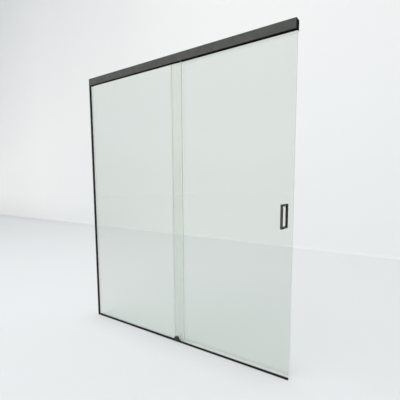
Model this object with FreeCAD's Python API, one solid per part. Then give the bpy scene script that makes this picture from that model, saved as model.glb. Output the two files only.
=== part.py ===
"""Inline sliding shower door: one fixed pane, one top-hung sliding pane and a slim black header.

The frame is +X along the door to the right, +Y into the shower and +Z up. The origin is on the floor,
under the middle of the header's length, in the mid-plane of the sliding pane. All sizes are millimetres.
"""
import FreeCAD, Part
import math
import os

# Whole door
door_width = 1700.0
door_height = 1950.0
cut_overrun = 2.0
edge_round = 0.6
screw_clearance = 0.1

# Header: a cover in front, a track behind it with a floor, a roof and a short lip at the back
header_height = 52.0
header_depth = 42.0
header_wall = 1.6
header_roof = 2.4
header_floor_depth = 28.8
header_lip_rise = 8.0
fascia_thickness = 1.5
fascia_rib_reach = 1.0
fascia_rib_thickness = 1.2
fascia_rib_edge = 9.0
track_front_wall = 2.0

# Header ends, screwed to the two walls of the room
bracket_plate = 2.0
bracket_tab_reach = 32.0
bracket_tab_thickness = 3.0
bracket_tab_width = 24.0
bracket_tab_setback = 4.0
bracket_screw_edge = 12.0
bracket_screw_pitch = 12.0
bracket_screw_diameter = 4.0
bracket_screw_head_diameter = 7.0
bracket_screw_head = 2.0
bracket_screw_bite = 1.8
wall_hole_diameter = 5.0
wall_hole_spacing = 21.0
wall_hole_setback = 10.0
wall_hole_rise = 25.0

# Glass
glass_thickness = 8.0
glass_bevel = 0.8
fixed_setback = 12.0
slide_setback = 29.5
fixed_past_middle = 87.0
fixed_wall_gap = 2.0
fixed_header_bite = 12.0
slide_past_middle = 7.5
slide_end_gap = 0.5
slide_floor_gap = 5.0
slide_header_rise = 40.0

# Glazing channel in the header, its gasket and the strip that closes it past the fixed pane
header_gasket_leg = 0.8
header_gasket_web = 1.4
header_gasket_recess = 0.5
channel_roof_gap = 0.6
channel_roof_thickness = 3.0
filler_wall = 1.2
filler_rise = 10.0
filler_gap = 1.0

# Rail that the rollers run on
rail_width = 4.0
rail_height = 4.2
rail_seat_depth = 1.2
rail_end_gap = 6.0

# Slim boxes along the wall and the floor, each with a flange that carries the back of the fixed pane
frame_box_depth = 11.2
frame_wall = 1.6
jamb_face = 10.0
channel_height = 11.0
flange_depth = 23.2
hook_thickness = 1.2
hook_rise = 1.6
gasket_rise = 4.6
tape_edge_gap = 0.8
tape_end_gap = 1.0
threshold_height = 9.0
cap_plate = 2.4
cap_spigot = 8.0
cap_clearance = 0.2
setting_block_height = 3.0
setting_block_length = 60.0
setting_block_end_gap = 180.0
jamb_hole_diameter = 4.5
jamb_hole_count = 4
jamb_hole_end = 150.0

# Bottom guide
guide_past_middle = 7.0
guide_width = 34.0
guide_height = 35.0
guide_proud = 1.0
guide_round_left = 14.0
guide_round_right = 3.0
guide_hole_diameter = 4.2
guide_sink_diameter = 7.5
guide_sink_depth = 5.0
guide_hole_edge = 14.0

# Guide shoe
shoe_height = 14.0
shoe_round = 2.0
shoe_back_wall = 4.3
shoe_fixed_clearance = 0.2
shoe_slot_floor = 2.6
shoe_running_gap = 0.5
shoe_tongue_thickness = 2.0
shoe_tongue_edge = 3.0
shoe_tongue_clearance = 0.2
liner_thickness = 0.7
liner_rise = 10.4
liner_edge_gap = 2.0

# Hangers that clamp the sliding pane
hanger_inset = 110.0
hanger_length = 100.0
hanger_plate = 5.0
hanger_pad = 0.5
hanger_bottom_rise = 18.0
hanger_height = 28.0
hanger_round = 3.0
back_plate_thickness = 2.0
back_plate_length = 70.0
back_plate_bottom_rise = 10.0
pad_edge_gap = 1.0
clamp_bolt_pitch = 30.0
clamp_bolt_rise = 24.0
clamp_bolt_diameter = 6.0
clamp_head_diameter = 10.0
clamp_bolt_recess = 0.5
clamp_glass_hole = 12.0
socket_width = 3.0
socket_depth = 1.2

# Rollers
roller_pitch = 70.0
roller_setback = 16.0
roller_diameter = 24.0
roller_tread_diameter = 20.0
roller_width = 7.0
roller_groove_width = 4.8
roller_groove_flare = 0.4
roller_edge_bevel = 0.5
rail_running_gap = 0.3
bearing_diameter = 11.0
bearing_width = 5.0
bearing_ring = 1.1
bearing_recess = 0.4
axle_diameter = 5.0
axle_running_clearance = 0.04
axle_side_gap = 0.2
axle_head_diameter = 8.0
axle_head = 2.0
axle_boss_diameter = 7.0
axle_thread_diameter = 4.0
axle_thread_recess = 0.5

# Blocks on the hangers that stop the pane from being lifted off its rail
jump_block_length = 30.0
jump_block_drop = 5.5
jump_block_front = 3.0
jump_block_gap = 1.0
jump_screw_diameter = 3.0
jump_screw_head_diameter = 4.6
jump_screw_head = 1.4
jump_screw_drop = 2.8
jump_screw_recess = 1.0

# End stops
pull_stop_gap = 28.0
stop_length = 20.0
stop_height = 20.0
stop_front = 10.0
stop_back = 28.0
stop_notch_gap = 0.1
stop_screw_diameter = 5.0
stop_screw_recess = 1.0
bumper_length = 8.0
bumper_diameter = 8.0
bumper_stem_diameter = 4.0
bumper_stem = 6.0
bumper_dome = 1.5
bumper_setback = 24.0
bumper_rise = 30.0
bumper_gap = 0.5

# Handle
handle_bar = 12.0
handle_height = 138.0
handle_middle = 932.5
handle_edge_inset = 54.0
handle_reach = 42.5
handle_corner_round = 1.6
handle_washer = 0.8
handle_washer_diameter = 14.0
handle_glass_hole = 10.0
handle_stud_diameter = 6.0
handle_stud_bite = 10.0
handle_blind_gap = 1.0
grub_diameter = 4.0
grub_setback = 5.0
grub_recess = 0.3
grub_gap = 0.1

# Seal clipped on the sliding pane's left edge
seal_leg = 1.0
seal_bite = 6.0
seal_web = 1.5
seal_fin = 0.8
seal_fin_gap = 0.6
seal_end_gap = 2.0

# Places worked out from the sizes
left = -door_width / 2
right = door_width / 2
front = -(slide_setback + glass_thickness / 2)
back = front + header_depth
underside = door_height - header_height
roof_under = door_height - header_roof
fixed_front = front + fixed_setback
fixed_back = fixed_front + glass_thickness
fixed_middle = (fixed_front + fixed_back) / 2
slide_front = front + slide_setback
slide_back = slide_front + glass_thickness
fixed_left = left + frame_wall + fixed_wall_gap
fixed_right = fixed_past_middle
fixed_bottom = frame_wall + setting_block_height
fixed_top = underside + fixed_header_bite
slide_left = -slide_past_middle
slide_right = right - bracket_plate - slide_end_gap
slide_top = underside + slide_header_rise
track_left = left + bracket_plate
track_right = right - bracket_plate
fascia_back = front + fascia_thickness
track_front_back = fascia_back + track_front_wall
channel_front = fixed_front - header_gasket_leg
channel_back = fixed_back + header_gasket_leg
channel_roof = fixed_top + header_gasket_web + channel_roof_gap
track_floor = channel_roof + channel_roof_thickness
rail_foot = track_floor - rail_seat_depth
rail_top = rail_foot + rail_height
box_back = front + frame_box_depth
flange_back = front + flange_depth
hook_front = flange_back - hook_thickness
jamb_right = left + jamb_face
guide_left = guide_past_middle
guide_right = guide_left + guide_width
guide_front = front - guide_proud
guide_back = fixed_front - shoe_fixed_clearance
guide_hole_x = guide_right - guide_hole_edge
guide_hole_y = (guide_front + guide_back) / 2
slot_front = slide_front - shoe_running_gap - liner_thickness
slot_back = slide_back + shoe_running_gap + liner_thickness
shoe_back = slot_back + shoe_back_wall
tongue_left = guide_left + shoe_tongue_edge
tongue_right = guide_right - shoe_tongue_edge
tongue_front = guide_front + shoe_tongue_edge
roller_y = front + roller_setback
roller_z = rail_top + rail_running_gap + roller_tread_diameter / 2
hanger_centres = (slide_left + hanger_inset, slide_right - hanger_inset)
hanger_back = slide_front - hanger_pad
hanger_front = hanger_back - hanger_plate
hanger_bottom = underside + hanger_bottom_rise
hanger_top = hanger_bottom + hanger_height
back_plate_front = slide_back + hanger_pad
back_plate_back = back_plate_front + back_plate_thickness
back_plate_bottom = underside + back_plate_bottom_rise
boss_front = roller_y + bearing_width / 2 + axle_side_gap
jump_block_face = hanger_front - jump_block_front
jump_screw_z = hanger_top - jump_screw_drop
clamp_z = underside + clamp_bolt_rise
clamp_places = [centre + side * clamp_bolt_pitch / 2 for centre in hanger_centres for side in (-1, 1)]
roller_places = [centre + side * roller_pitch / 2 for centre in hanger_centres for side in (-1, 1)]
handle_x = right - handle_edge_inset
handle_foot = slide_front - handle_washer
handle_bolt_heights = [handle_middle + side * (handle_height - handle_bar) / 2 for side in (-1, 1)]
grub_y = slide_back + handle_washer + grub_setback
bumper_y = front + bumper_setback
bumper_z = underside + bumper_rise
slide_travel = handle_x - handle_bar / 2 - fixed_right - pull_stop_gap
left_bumper_tip = hanger_centres[0] - hanger_length / 2 - slide_travel - bumper_gap
right_bumper_tip = hanger_centres[1] + hanger_length / 2 + bumper_gap


def box(x0, x1, y0, y1, z0, z1):
    """Block between two corners."""
    return Part.makeBox(x1 - x0, y1 - y0, z1 - z0, FreeCAD.Vector(x0, y0, z0))


def to_space(plane, along, u, v):
    """Point of a flat outline, set in space at a distance along the normal of its plane."""
    if plane == "yz":
        return FreeCAD.Vector(along, u, v)
    if plane == "xz":
        return FreeCAD.Vector(u, along, v)
    return FreeCAD.Vector(u, v, along)


def outline_face(plane, along, corners):
    """Face inside a closed outline of (u, v, radius) corners, with an arc wherever the radius isn't 0."""
    rounds = []
    for index, (u, v, radius) in enumerate(corners):
        before = corners[index - 1]
        after = corners[(index + 1) % len(corners)]
        corner = FreeCAD.Vector(u, v, 0)
        to_before = FreeCAD.Vector(before[0] - u, before[1] - v, 0).normalize()
        to_after = FreeCAD.Vector(after[0] - u, after[1] - v, 0).normalize()
        half_turn = to_before.getAngle(to_after) / 2
        run = radius / math.tan(half_turn)
        inward = (to_before + to_after).normalize()
        middle = corner + inward * (radius / math.sin(half_turn) - radius)
        rounds.append([to_space(plane, along, point.x, point.y)
                       for point in (corner + to_before * run, middle, corner + to_after * run)])
    edges = []
    for index, arc in enumerate(rounds):
        if corners[index][2] > 0:
            edges.append(Part.Arc(arc[0], arc[1], arc[2]).toShape())
        following = rounds[(index + 1) % len(rounds)]
        edges.append(Part.LineSegment(arc[2], following[0]).toShape())
    return Part.Face(Part.Wire(edges))


def prism(plane, start, end, corners):
    """Outline carried from one place to another along the normal of its plane."""
    return outline_face(plane, start, corners).extrude(to_space(plane, end - start, 0, 0))


def rod_x(x0, x1, y, z, diameter):
    """Round bar along X."""
    return Part.makeCylinder(diameter / 2, x1 - x0, FreeCAD.Vector(x0, y, z), FreeCAD.Vector(1, 0, 0))


def rod_y(x, y0, y1, z, diameter):
    """Round bar along Y."""
    return Part.makeCylinder(diameter / 2, y1 - y0, FreeCAD.Vector(x, y0, z), FreeCAD.Vector(0, 1, 0))


def rod_z(x, y, z0, z1, diameter):
    """Round bar along Z."""
    return Part.makeCylinder(diameter / 2, z1 - z0, FreeCAD.Vector(x, y, z0), FreeCAD.Vector(0, 0, 1))


def turned_y(x, z, profile):
    """Solid turned about the Y line through (x, z), from (radius, y) corners."""
    points = [FreeCAD.Vector(x + radius, y, z) for radius, y in profile]
    face = Part.Face(Part.makePolygon(points + points[:1]))
    return face.revolve(FreeCAD.Vector(x, 0, z), FreeCAD.Vector(0, 1, 0), 360)


def hex_socket(x, z, y0, y1):
    """Six-sided cut for a key, along Y."""
    reach = socket_width / 2 / math.cos(math.pi / 6)
    turns = [math.pi / 3 * step for step in range(6)]
    return prism("xz", y0, y1, [(x + reach * math.cos(turn), z + reach * math.sin(turn), 0) for turn in turns])


def joined(shapes):
    """Shapes fused into one, without the seams between them."""
    whole = shapes[0]
    for shape in shapes[1:]:
        whole = whole.fuse(shape)
    return whole.removeSplitter()


def less(shape, cutters):
    """Shape with every cutter taken away."""
    for cutter in cutters:
        shape = shape.cut(cutter)
    return shape


def sleeve(x, y0, y1, z, outside, inside):
    """Plain tube along Y."""
    return rod_y(x, y0, y1, z, outside).cut(rod_y(x, y0 - cut_overrun, y1 + cut_overrun, z, inside))


def pane(x0, x1, y0, z0, z1):
    """Sheet of glass with the arrises of its four sides taken off, front and back."""
    sheet = box(x0, x1, y0, y0 + glass_thickness, z0, z1)
    arrises = [edge for edge in sheet.Edges if edge.BoundBox.YLength < glass_bevel]
    return sheet.makeChamfer(glass_bevel, arrises)


def fascia_rib_heights():
    """Lower faces of the two ribs behind the header's cover."""
    return (underside + fascia_rib_edge, door_height - fascia_rib_edge - fascia_rib_thickness)


def header_fascia():
    """Flat cover of the header, with two ribs that press into the track's front wall."""
    plate = prism("yz", track_left, track_right, [
        (front, underside, edge_round),
        (fascia_back, underside, 0),
        (fascia_back, door_height, 0),
        (front, door_height, edge_round)])
    ribs = [box(track_left, track_right, fascia_back, fascia_back + fascia_rib_reach,
                height, height + fascia_rib_thickness) for height in fascia_rib_heights()]
    return joined([plate] + ribs)


def bracket_screws_at(side):
    """Places (x, y) of the two screws that hold one end bracket up under the roof."""
    wall = side * door_width / 2
    y = front + bracket_tab_setback + bracket_tab_width / 2
    return [(wall - side * (bracket_screw_edge + step * bracket_screw_pitch), y) for step in range(2)]


def header_track():
    """Extrusion with a front wall, a floor with a glazing channel, a roof over both panes and a lip behind."""
    floor_top = underside + header_wall
    floor_back = front + header_floor_depth
    lip_bottom = underside + header_lip_rise
    track = prism("yz", track_left, track_right, [
        (fascia_back, underside, 0),
        (fascia_back, door_height, 0),
        (back, door_height, edge_round),
        (back, lip_bottom, 0),
        (back - header_wall, lip_bottom, 0),
        (back - header_wall, roof_under, 0),
        (track_front_back, roof_under, 0),
        (track_front_back, floor_top, 0),
        (channel_front - header_wall, floor_top, 0),
        (channel_front - header_wall, track_floor, 0),
        (channel_back + header_wall, track_floor, 0),
        (channel_back + header_wall, floor_top, 0),
        (floor_back, floor_top, 0),
        (floor_back, underside, 0),
        (channel_back, underside, 0),
        (channel_back, channel_roof, 0),
        (channel_front, channel_roof, 0),
        (channel_front, underside, 0)])
    x0 = track_left - cut_overrun
    x1 = track_right + cut_overrun
    rail_front = roller_y - rail_width / 2
    hole_end = roof_under + bracket_screw_bite + screw_clearance
    screw_hole = bracket_screw_diameter + screw_clearance
    cutters = [box(x0, x1, rail_front, rail_front + rail_width, rail_foot, track_floor + cut_overrun)]
    for height in fascia_rib_heights():
        cutters.append(box(x0, x1, fascia_back - cut_overrun, fascia_back + fascia_rib_reach,
                           height, height + fascia_rib_thickness))
    for side in (-1, 1):
        for x, y in bracket_screws_at(side):
            cutters.append(rod_z(x, y, roof_under - cut_overrun, hole_end, screw_hole))
    return less(track, cutters)


def roller_rail():
    """Steel strip with a round top, pressed into the groove of the track."""
    half = rail_width / 2
    shoulder = rail_top - half
    outline = ((roller_y - half, rail_foot), (roller_y + half, rail_foot), (roller_y + half, shoulder),
               (roller_y, rail_top), (roller_y - half, shoulder))
    points = [FreeCAD.Vector(track_left + rail_end_gap, y, z) for y, z in outline]
    edges = [
        Part.LineSegment(points[0], points[1]).toShape(),
        Part.LineSegment(points[1], points[2]).toShape(),
        Part.Arc(points[2], points[3], points[4]).toShape(),
        Part.LineSegment(points[4], points[0]).toShape()]
    length = track_right - track_left - rail_end_gap * 2
    return Part.Face(Part.Wire(edges)).extrude(FreeCAD.Vector(length, 0, 0))


def header_filler_strip():
    """Channel-shaped strip that closes the header's glazing channel past the fixed pane."""
    top = underside + filler_rise
    return prism("yz", fixed_right + filler_gap, track_right, [
        (channel_front, underside, 0),
        (channel_back, underside, 0),
        (channel_back, top, 0),
        (channel_back - filler_wall, top, 0),
        (channel_back - filler_wall, underside + filler_wall, 0),
        (channel_front + filler_wall, underside + filler_wall, 0),
        (channel_front + filler_wall, top, 0),
        (channel_front, top, 0)])


def header_glazing_gasket():
    """Rubber channel over the top edge of the fixed pane."""
    bottom = underside + header_gasket_recess
    top = fixed_top + header_gasket_web
    return prism("yz", fixed_left, fixed_right, [
        (channel_front, bottom, 0),
        (channel_front, top, 0),
        (channel_back, top, 0),
        (channel_back, bottom, 0),
        (fixed_back, bottom, 0),
        (fixed_back, fixed_top, 0),
        (fixed_front, fixed_top, 0),
        (fixed_front, bottom, 0)])


def header_end_bracket(side):
    """End plate of the header with a tab under its roof, for the wall on one side."""
    wall = side * door_width / 2
    inner = wall - side * bracket_plate
    tab_end = inner - side * bracket_tab_reach
    tab_front = front + bracket_tab_setback
    tab_bottom = roof_under - bracket_tab_thickness
    x0 = min(wall, inner)
    x1 = max(wall, inner)
    plate = prism("yz", x0, x1, [
        (front, underside, edge_round),
        (back, underside, edge_round),
        (back, door_height, edge_round),
        (front, door_height, edge_round)])
    tab = box(min(inner, tab_end), max(inner, tab_end), tab_front, tab_front + bracket_tab_width,
              tab_bottom, roof_under)
    screw_hole = bracket_screw_diameter + screw_clearance
    holes = [rod_z(x, y, tab_bottom - cut_overrun, roof_under + cut_overrun, screw_hole)
             for x, y in bracket_screws_at(side)]
    wall_hole_z = underside + wall_hole_rise
    for step in range(2):
        y = front + wall_hole_setback + step * wall_hole_spacing
        holes.append(rod_x(x0 - cut_overrun, x1 + cut_overrun, y, wall_hole_z, wall_hole_diameter))
    return less(joined([plate, tab]), holes)


def header_bracket_screws():
    """Screws up through the two tabs into the header's roof."""
    tab_bottom = roof_under - bracket_tab_thickness
    screws = []
    for side in (-1, 1):
        for x, y in bracket_screws_at(side):
            head = rod_z(x, y, tab_bottom - bracket_screw_head, tab_bottom, bracket_screw_head_diameter)
            shank = rod_z(x, y, tab_bottom, roof_under + bracket_screw_bite, bracket_screw_diameter)
            screws.append(joined([head, shank]))
    return Part.makeCompound(screws)


def stop_span(side):
    """Ends (x0, x1) of one end stop, which stands behind its bumper."""
    if side < 0:
        inner = left_bumper_tip - bumper_length
        return (inner - stop_length, inner)
    inner = right_bumper_tip + bumper_length
    return (inner, inner + stop_length)


def end_stop(side):
    """Block that straddles the rail, with a hole for its screw and one for the bumper's stem."""
    x0, x1 = stop_span(side)
    y0 = front + stop_front
    y1 = front + stop_back
    top = track_floor + stop_height
    half_notch = rail_width / 2 + stop_notch_gap
    notch_top = rail_top + stop_notch_gap
    block = prism("yz", x0, x1, [
        (y0, track_floor, 0),
        (roller_y - half_notch, track_floor, 0),
        (roller_y - half_notch, notch_top, 0),
        (roller_y + half_notch, notch_top, 0),
        (roller_y + half_notch, track_floor, 0),
        (y1, track_floor, 0),
        (y1, top, edge_round),
        (y0, top, edge_round)])
    screw_hole = rod_z((x0 + x1) / 2, roller_y, track_floor, top + cut_overrun,
                       stop_screw_diameter + screw_clearance)
    stem_end = x1 - bumper_stem if side < 0 else x0 + bumper_stem
    mouth = x1 + cut_overrun if side < 0 else x0 - cut_overrun
    stem_hole = rod_x(min(stem_end, mouth), max(stem_end, mouth), bumper_y, bumper_z, bumper_stem_diameter)
    return less(block, [screw_hole, stem_hole])


def end_stop_bumpers():
    """Rubber bumpers with a stem in each stop and a domed tip."""
    bumpers = []
    for side, tip in ((-1, left_bumper_tip), (1, right_bumper_tip)):
        face = tip + side * bumper_length
        head = rod_x(min(tip, face), max(tip, face), bumper_y, bumper_z, bumper_diameter)
        rim = [edge for edge in head.Edges
               if edge.BoundBox.XLength < bumper_gap and abs(edge.BoundBox.XMin - tip) < bumper_gap]
        head = head.makeFillet(bumper_dome, rim)
        stem_end = face + side * bumper_stem
        stem = rod_x(min(face, stem_end), max(face, stem_end), bumper_y, bumper_z, bumper_stem_diameter)
        bumpers.append(joined([head, stem]))
    return Part.makeCompound(bumpers)


def end_stop_screws():
    """Headless screws that clamp the stops on the rail."""
    top = track_floor + stop_height - stop_screw_recess
    return Part.makeCompound([rod_z(sum(stop_span(side)) / 2, roller_y, rail_top, top, stop_screw_diameter)
                              for side in (-1, 1)])


def wall_jamb():
    """Upright with a hollow box before the pane, and a flange on the wall that hooks round behind it."""
    flange_right = left + frame_wall
    upright = prism("xy", 0, underside, [
        (left, front, edge_round),
        (jamb_right, front, edge_round),
        (jamb_right, box_back, 0),
        (flange_right, box_back, 0),
        (flange_right, hook_front, 0),
        (flange_right + hook_rise, hook_front, 0),
        (flange_right + hook_rise, flange_back, 0),
        (left, flange_back, 0)])
    hollow = box(left + frame_wall, jamb_right - frame_wall, front + frame_wall, box_back - frame_wall,
                 -cut_overrun, underside + cut_overrun)
    step = (underside - jamb_hole_end * 2) / (jamb_hole_count - 1)
    holes = [rod_x(left - cut_overrun, flange_right + cut_overrun, fixed_middle, jamb_hole_end + step * index,
                   jamb_hole_diameter) for index in range(jamb_hole_count)]
    return less(upright, [hollow] + holes)


def jamb_glazing_tape():
    """Foam tape between the jamb's box and the fixed pane."""
    return box(fixed_left + tape_edge_gap, jamb_right - tape_edge_gap, box_back, fixed_front,
               channel_height + tape_end_gap, underside - tape_end_gap)


def jamb_glazing_gasket():
    """Clear wedge between the fixed pane and the jamb's hook."""
    foot = left + frame_wall
    return box(foot, foot + gasket_rise, fixed_back, hook_front, frame_wall, underside - tape_end_gap)


def bottom_channel():
    """Floor rail with a hollow box before the fixed pane, and a flange under it that hooks up behind."""
    channel = prism("yz", jamb_right, guide_left, [
        (front, 0, edge_round),
        (front, channel_height, edge_round),
        (box_back, channel_height, 0),
        (box_back, frame_wall, 0),
        (hook_front, frame_wall, 0),
        (hook_front, frame_wall + hook_rise, 0),
        (flange_back, frame_wall + hook_rise, 0),
        (flange_back, 0, 0)])
    hollow = box(jamb_right - cut_overrun, guide_left + cut_overrun, front + frame_wall, box_back - frame_wall,
                 frame_wall, channel_height - frame_wall)
    return channel.cut(hollow)


def bottom_glazing_tape():
    """Foam tape between the floor rail's box and the fixed pane."""
    return box(jamb_right + tape_end_gap, guide_left - tape_end_gap, box_back, fixed_front,
               fixed_bottom + tape_edge_gap, channel_height - tape_edge_gap)


def bottom_glazing_gasket():
    """Clear wedge between the fixed pane and the floor rail's hook."""
    return box(jamb_right, guide_left - tape_end_gap, fixed_back, hook_front,
               frame_wall, frame_wall + gasket_rise)


def setting_blocks():
    """Two blocks that carry the fixed pane above the floor rail."""
    starts = (fixed_left + setting_block_end_gap, guide_left - setting_block_end_gap - setting_block_length)
    return Part.makeCompound([
        box(x, x + setting_block_length, fixed_front, fixed_back, frame_wall, fixed_bottom)
        for x in starts])


def threshold_outline():
    """Outside of the threshold bar, seen from its end."""
    return [
        (front, 0, edge_round),
        (front, threshold_height, edge_round),
        (box_back, threshold_height, edge_round),
        (box_back, 0, 0)]


def threshold_bar():
    """Hollow bar on the floor before the sliding pane, which keeps the water in."""
    x1 = right - cap_plate
    hollow = box(guide_right - cut_overrun, x1 + cut_overrun, front + frame_wall, box_back - frame_wall,
                 frame_wall, threshold_height - frame_wall)
    return prism("yz", guide_right, x1, threshold_outline()).cut(hollow)


def threshold_end_cap():
    """Plug with a flange that closes the threshold at the wall."""
    x0 = right - cap_plate
    inset = frame_wall + cap_clearance
    spigot = box(x0 - cap_spigot, x0, front + inset, box_back - inset, inset, threshold_height - inset)
    return joined([prism("yz", x0, right, threshold_outline()), spigot])


def bottom_guide():
    """Floor block before the panes, hollowed below for the shoe's tongue."""
    block = prism("xz", guide_front, guide_back, [
        (guide_left, 0, 0),
        (guide_left, guide_height, guide_round_left),
        (guide_right, guide_height, guide_round_right),
        (guide_right, 0, 0)])
    top = guide_height + cut_overrun
    return less(block, [
        box(tongue_left - shoe_tongue_clearance, tongue_right + shoe_tongue_clearance,
            tongue_front - shoe_tongue_clearance, guide_back + cut_overrun,
            -cut_overrun, shoe_tongue_thickness),
        rod_z(guide_hole_x, guide_hole_y, -cut_overrun, top, guide_hole_diameter),
        rod_z(guide_hole_x, guide_hole_y, guide_height - guide_sink_depth, top, guide_sink_diameter)])


def guide_shoe():
    """Low clear shoe behind the block, with a seat for the fixed pane and a slot for the sliding pane."""
    shoe = prism("xz", guide_back, shoe_back, [
        (guide_left, 0, 0),
        (guide_left, shoe_height, shoe_round),
        (guide_right, shoe_height, shoe_round),
        (guide_right, 0, 0)])
    tongue = box(tongue_left, tongue_right, tongue_front, guide_back, 0, shoe_tongue_thickness)
    x0 = guide_left - cut_overrun
    x1 = guide_right + cut_overrun
    top = shoe_height + cut_overrun
    return less(joined([shoe, tongue]), [
        box(x0, x1, guide_back - cut_overrun, fixed_back + shoe_fixed_clearance,
            fixed_bottom - shoe_fixed_clearance, top),
        box(x0, x1, slot_front, slot_back, shoe_slot_floor, top),
        rod_z(guide_hole_x, guide_hole_y, -cut_overrun, top, guide_hole_diameter)])


def guide_liners():
    """Slippery strips on both sides of the slot for the sliding pane."""
    return Part.makeCompound([
        box(guide_left + liner_edge_gap, guide_right - liner_edge_gap, y, y + liner_thickness,
            shoe_slot_floor, shoe_slot_floor + liner_rise)
        for y in (slot_front, slot_back - liner_thickness)])


def fixed_glass():
    """Fixed pane on the left."""
    return pane(fixed_left, fixed_right, fixed_front, fixed_bottom, fixed_top)


def sliding_glass():
    """Sliding pane on the right, with holes for its hangers and its handle."""
    y0 = slide_front - cut_overrun
    y1 = slide_back + cut_overrun
    holes = [rod_y(x, y0, y1, clamp_z, clamp_glass_hole) for x in clamp_places]
    holes += [rod_y(handle_x, y0, y1, height, handle_glass_hole) for height in handle_bolt_heights]
    return less(pane(slide_left, slide_right, slide_front, slide_floor_gap, slide_top), holes)


def hanger_plate_at(centre):
    """Plate before the glass, with a turned boss for each roller and holes for the clamp bolts."""
    half = hanger_length / 2
    plate = prism("xz", hanger_front, hanger_back, [
        (centre - half, hanger_bottom, hanger_round),
        (centre - half, hanger_top, hanger_round),
        (centre + half, hanger_top, hanger_round),
        (centre + half, hanger_bottom, hanger_round)])
    rollers = [centre + side * roller_pitch / 2 for side in (-1, 1)]
    bosses = [rod_y(x, boss_front, hanger_front, roller_z, axle_boss_diameter) for x in rollers]
    y0 = boss_front - cut_overrun
    y1 = hanger_back + cut_overrun
    holes = [rod_y(x, y0, y1, roller_z, axle_thread_diameter + screw_clearance) for x in rollers]
    bolt_hole = clamp_bolt_diameter + screw_clearance
    holes += [rod_y(centre + side * clamp_bolt_pitch / 2, y0, y1, clamp_z, bolt_hole) for side in (-1, 1)]
    holes.append(rod_y(centre, y0, y1, jump_screw_z, jump_screw_diameter + screw_clearance))
    return less(joined([plate] + bosses), holes)


def hanger_back_plate_at(centre):
    """Thin plate behind the glass, sunk for the heads of the clamp bolts."""
    half = back_plate_length / 2
    top = slide_top - pad_edge_gap
    plate = prism("xz", back_plate_front, back_plate_back, [
        (centre - half, back_plate_bottom, hanger_round),
        (centre - half, top, hanger_round),
        (centre + half, top, hanger_round),
        (centre + half, back_plate_bottom, hanger_round)])
    hole_radius = (clamp_bolt_diameter + screw_clearance) / 2
    head_radius = (clamp_head_diameter + screw_clearance) / 2
    sinks = [turned_y(centre + side * clamp_bolt_pitch / 2, clamp_z, [
        (0, back_plate_front),
        (hole_radius, back_plate_front),
        (head_radius, back_plate_back),
        (0, back_plate_back)]) for side in (-1, 1)]
    return less(plate, sinks)


def hanger_gaskets():
    """Thin pads between the hanger plates and the glass, holed for the clamp bolts."""
    half = back_plate_length / 2 - pad_edge_gap
    top = slide_top - pad_edge_gap * 2
    pads = []
    for centre in hanger_centres:
        holes = [rod_y(centre + side * clamp_bolt_pitch / 2, hanger_back - cut_overrun,
                       back_plate_front + cut_overrun, clamp_z, clamp_glass_hole) for side in (-1, 1)]
        for y, bottom in ((hanger_back, hanger_bottom), (slide_back, back_plate_bottom)):
            pad = box(centre - half, centre + half, y, y + hanger_pad, bottom + pad_edge_gap, top)
            pads.append(less(pad, holes))
    return Part.makeCompound(pads)


def hanger_bolts():
    """Sunk bolts from behind, through the glass into the hanger plates."""
    tip = hanger_front + clamp_bolt_recess
    radius = clamp_bolt_diameter / 2
    socket_front = back_plate_back - socket_depth
    bolts = []
    for x in clamp_places:
        bolt = turned_y(x, clamp_z, [
            (0, tip),
            (radius, tip),
            (radius, back_plate_front),
            (clamp_head_diameter / 2, back_plate_back),
            (0, back_plate_back)])
        bolts.append(bolt.cut(hex_socket(x, clamp_z, socket_front, back_plate_back + cut_overrun)))
    return Part.makeCompound(bolts)


def hanger_bushes():
    """Sleeves that keep the clamp bolts off the glass."""
    outside = clamp_glass_hole - screw_clearance * 2
    inside = clamp_bolt_diameter + screw_clearance * 2
    bushes = [sleeve(x, slide_front, slide_back, clamp_z, outside, inside) for x in clamp_places]
    return Part.makeCompound(bushes)


def roller_axles():
    """Shoulder screws that the rollers turn on, with the head before the roller."""
    head_back = roller_y - bearing_width / 2 - axle_side_gap
    head_front = head_back - axle_head
    tip = hanger_back - axle_thread_recess
    axles = []
    for x in roller_places:
        axle = turned_y(x, roller_z, [
            (0, head_front),
            (axle_head_diameter / 2, head_front),
            (axle_head_diameter / 2, head_back),
            (axle_diameter / 2, head_back),
            (axle_diameter / 2, boss_front),
            (axle_thread_diameter / 2, boss_front),
            (axle_thread_diameter / 2, tip),
            (0, tip)])
        axles.append(axle.cut(hex_socket(x, roller_z, head_front - cut_overrun, head_front + socket_depth)))
    return Part.makeCompound(axles)


def roller_tyre_at(x):
    """Grooved wheel, bored for its bearing."""
    half_width = roller_width / 2
    half_groove = roller_groove_width / 2
    bore = bearing_diameter / 2
    rim = roller_diameter / 2
    tread = roller_tread_diameter / 2
    return turned_y(x, roller_z, [
        (bore, roller_y - half_width),
        (rim - roller_edge_bevel, roller_y - half_width),
        (rim, roller_y - half_width + roller_edge_bevel),
        (rim, roller_y - half_groove - roller_groove_flare),
        (tread, roller_y - half_groove),
        (tread, roller_y + half_groove),
        (rim, roller_y + half_groove + roller_groove_flare),
        (rim, roller_y + half_width - roller_edge_bevel),
        (rim - roller_edge_bevel, roller_y + half_width),
        (bore, roller_y + half_width)])


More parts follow.
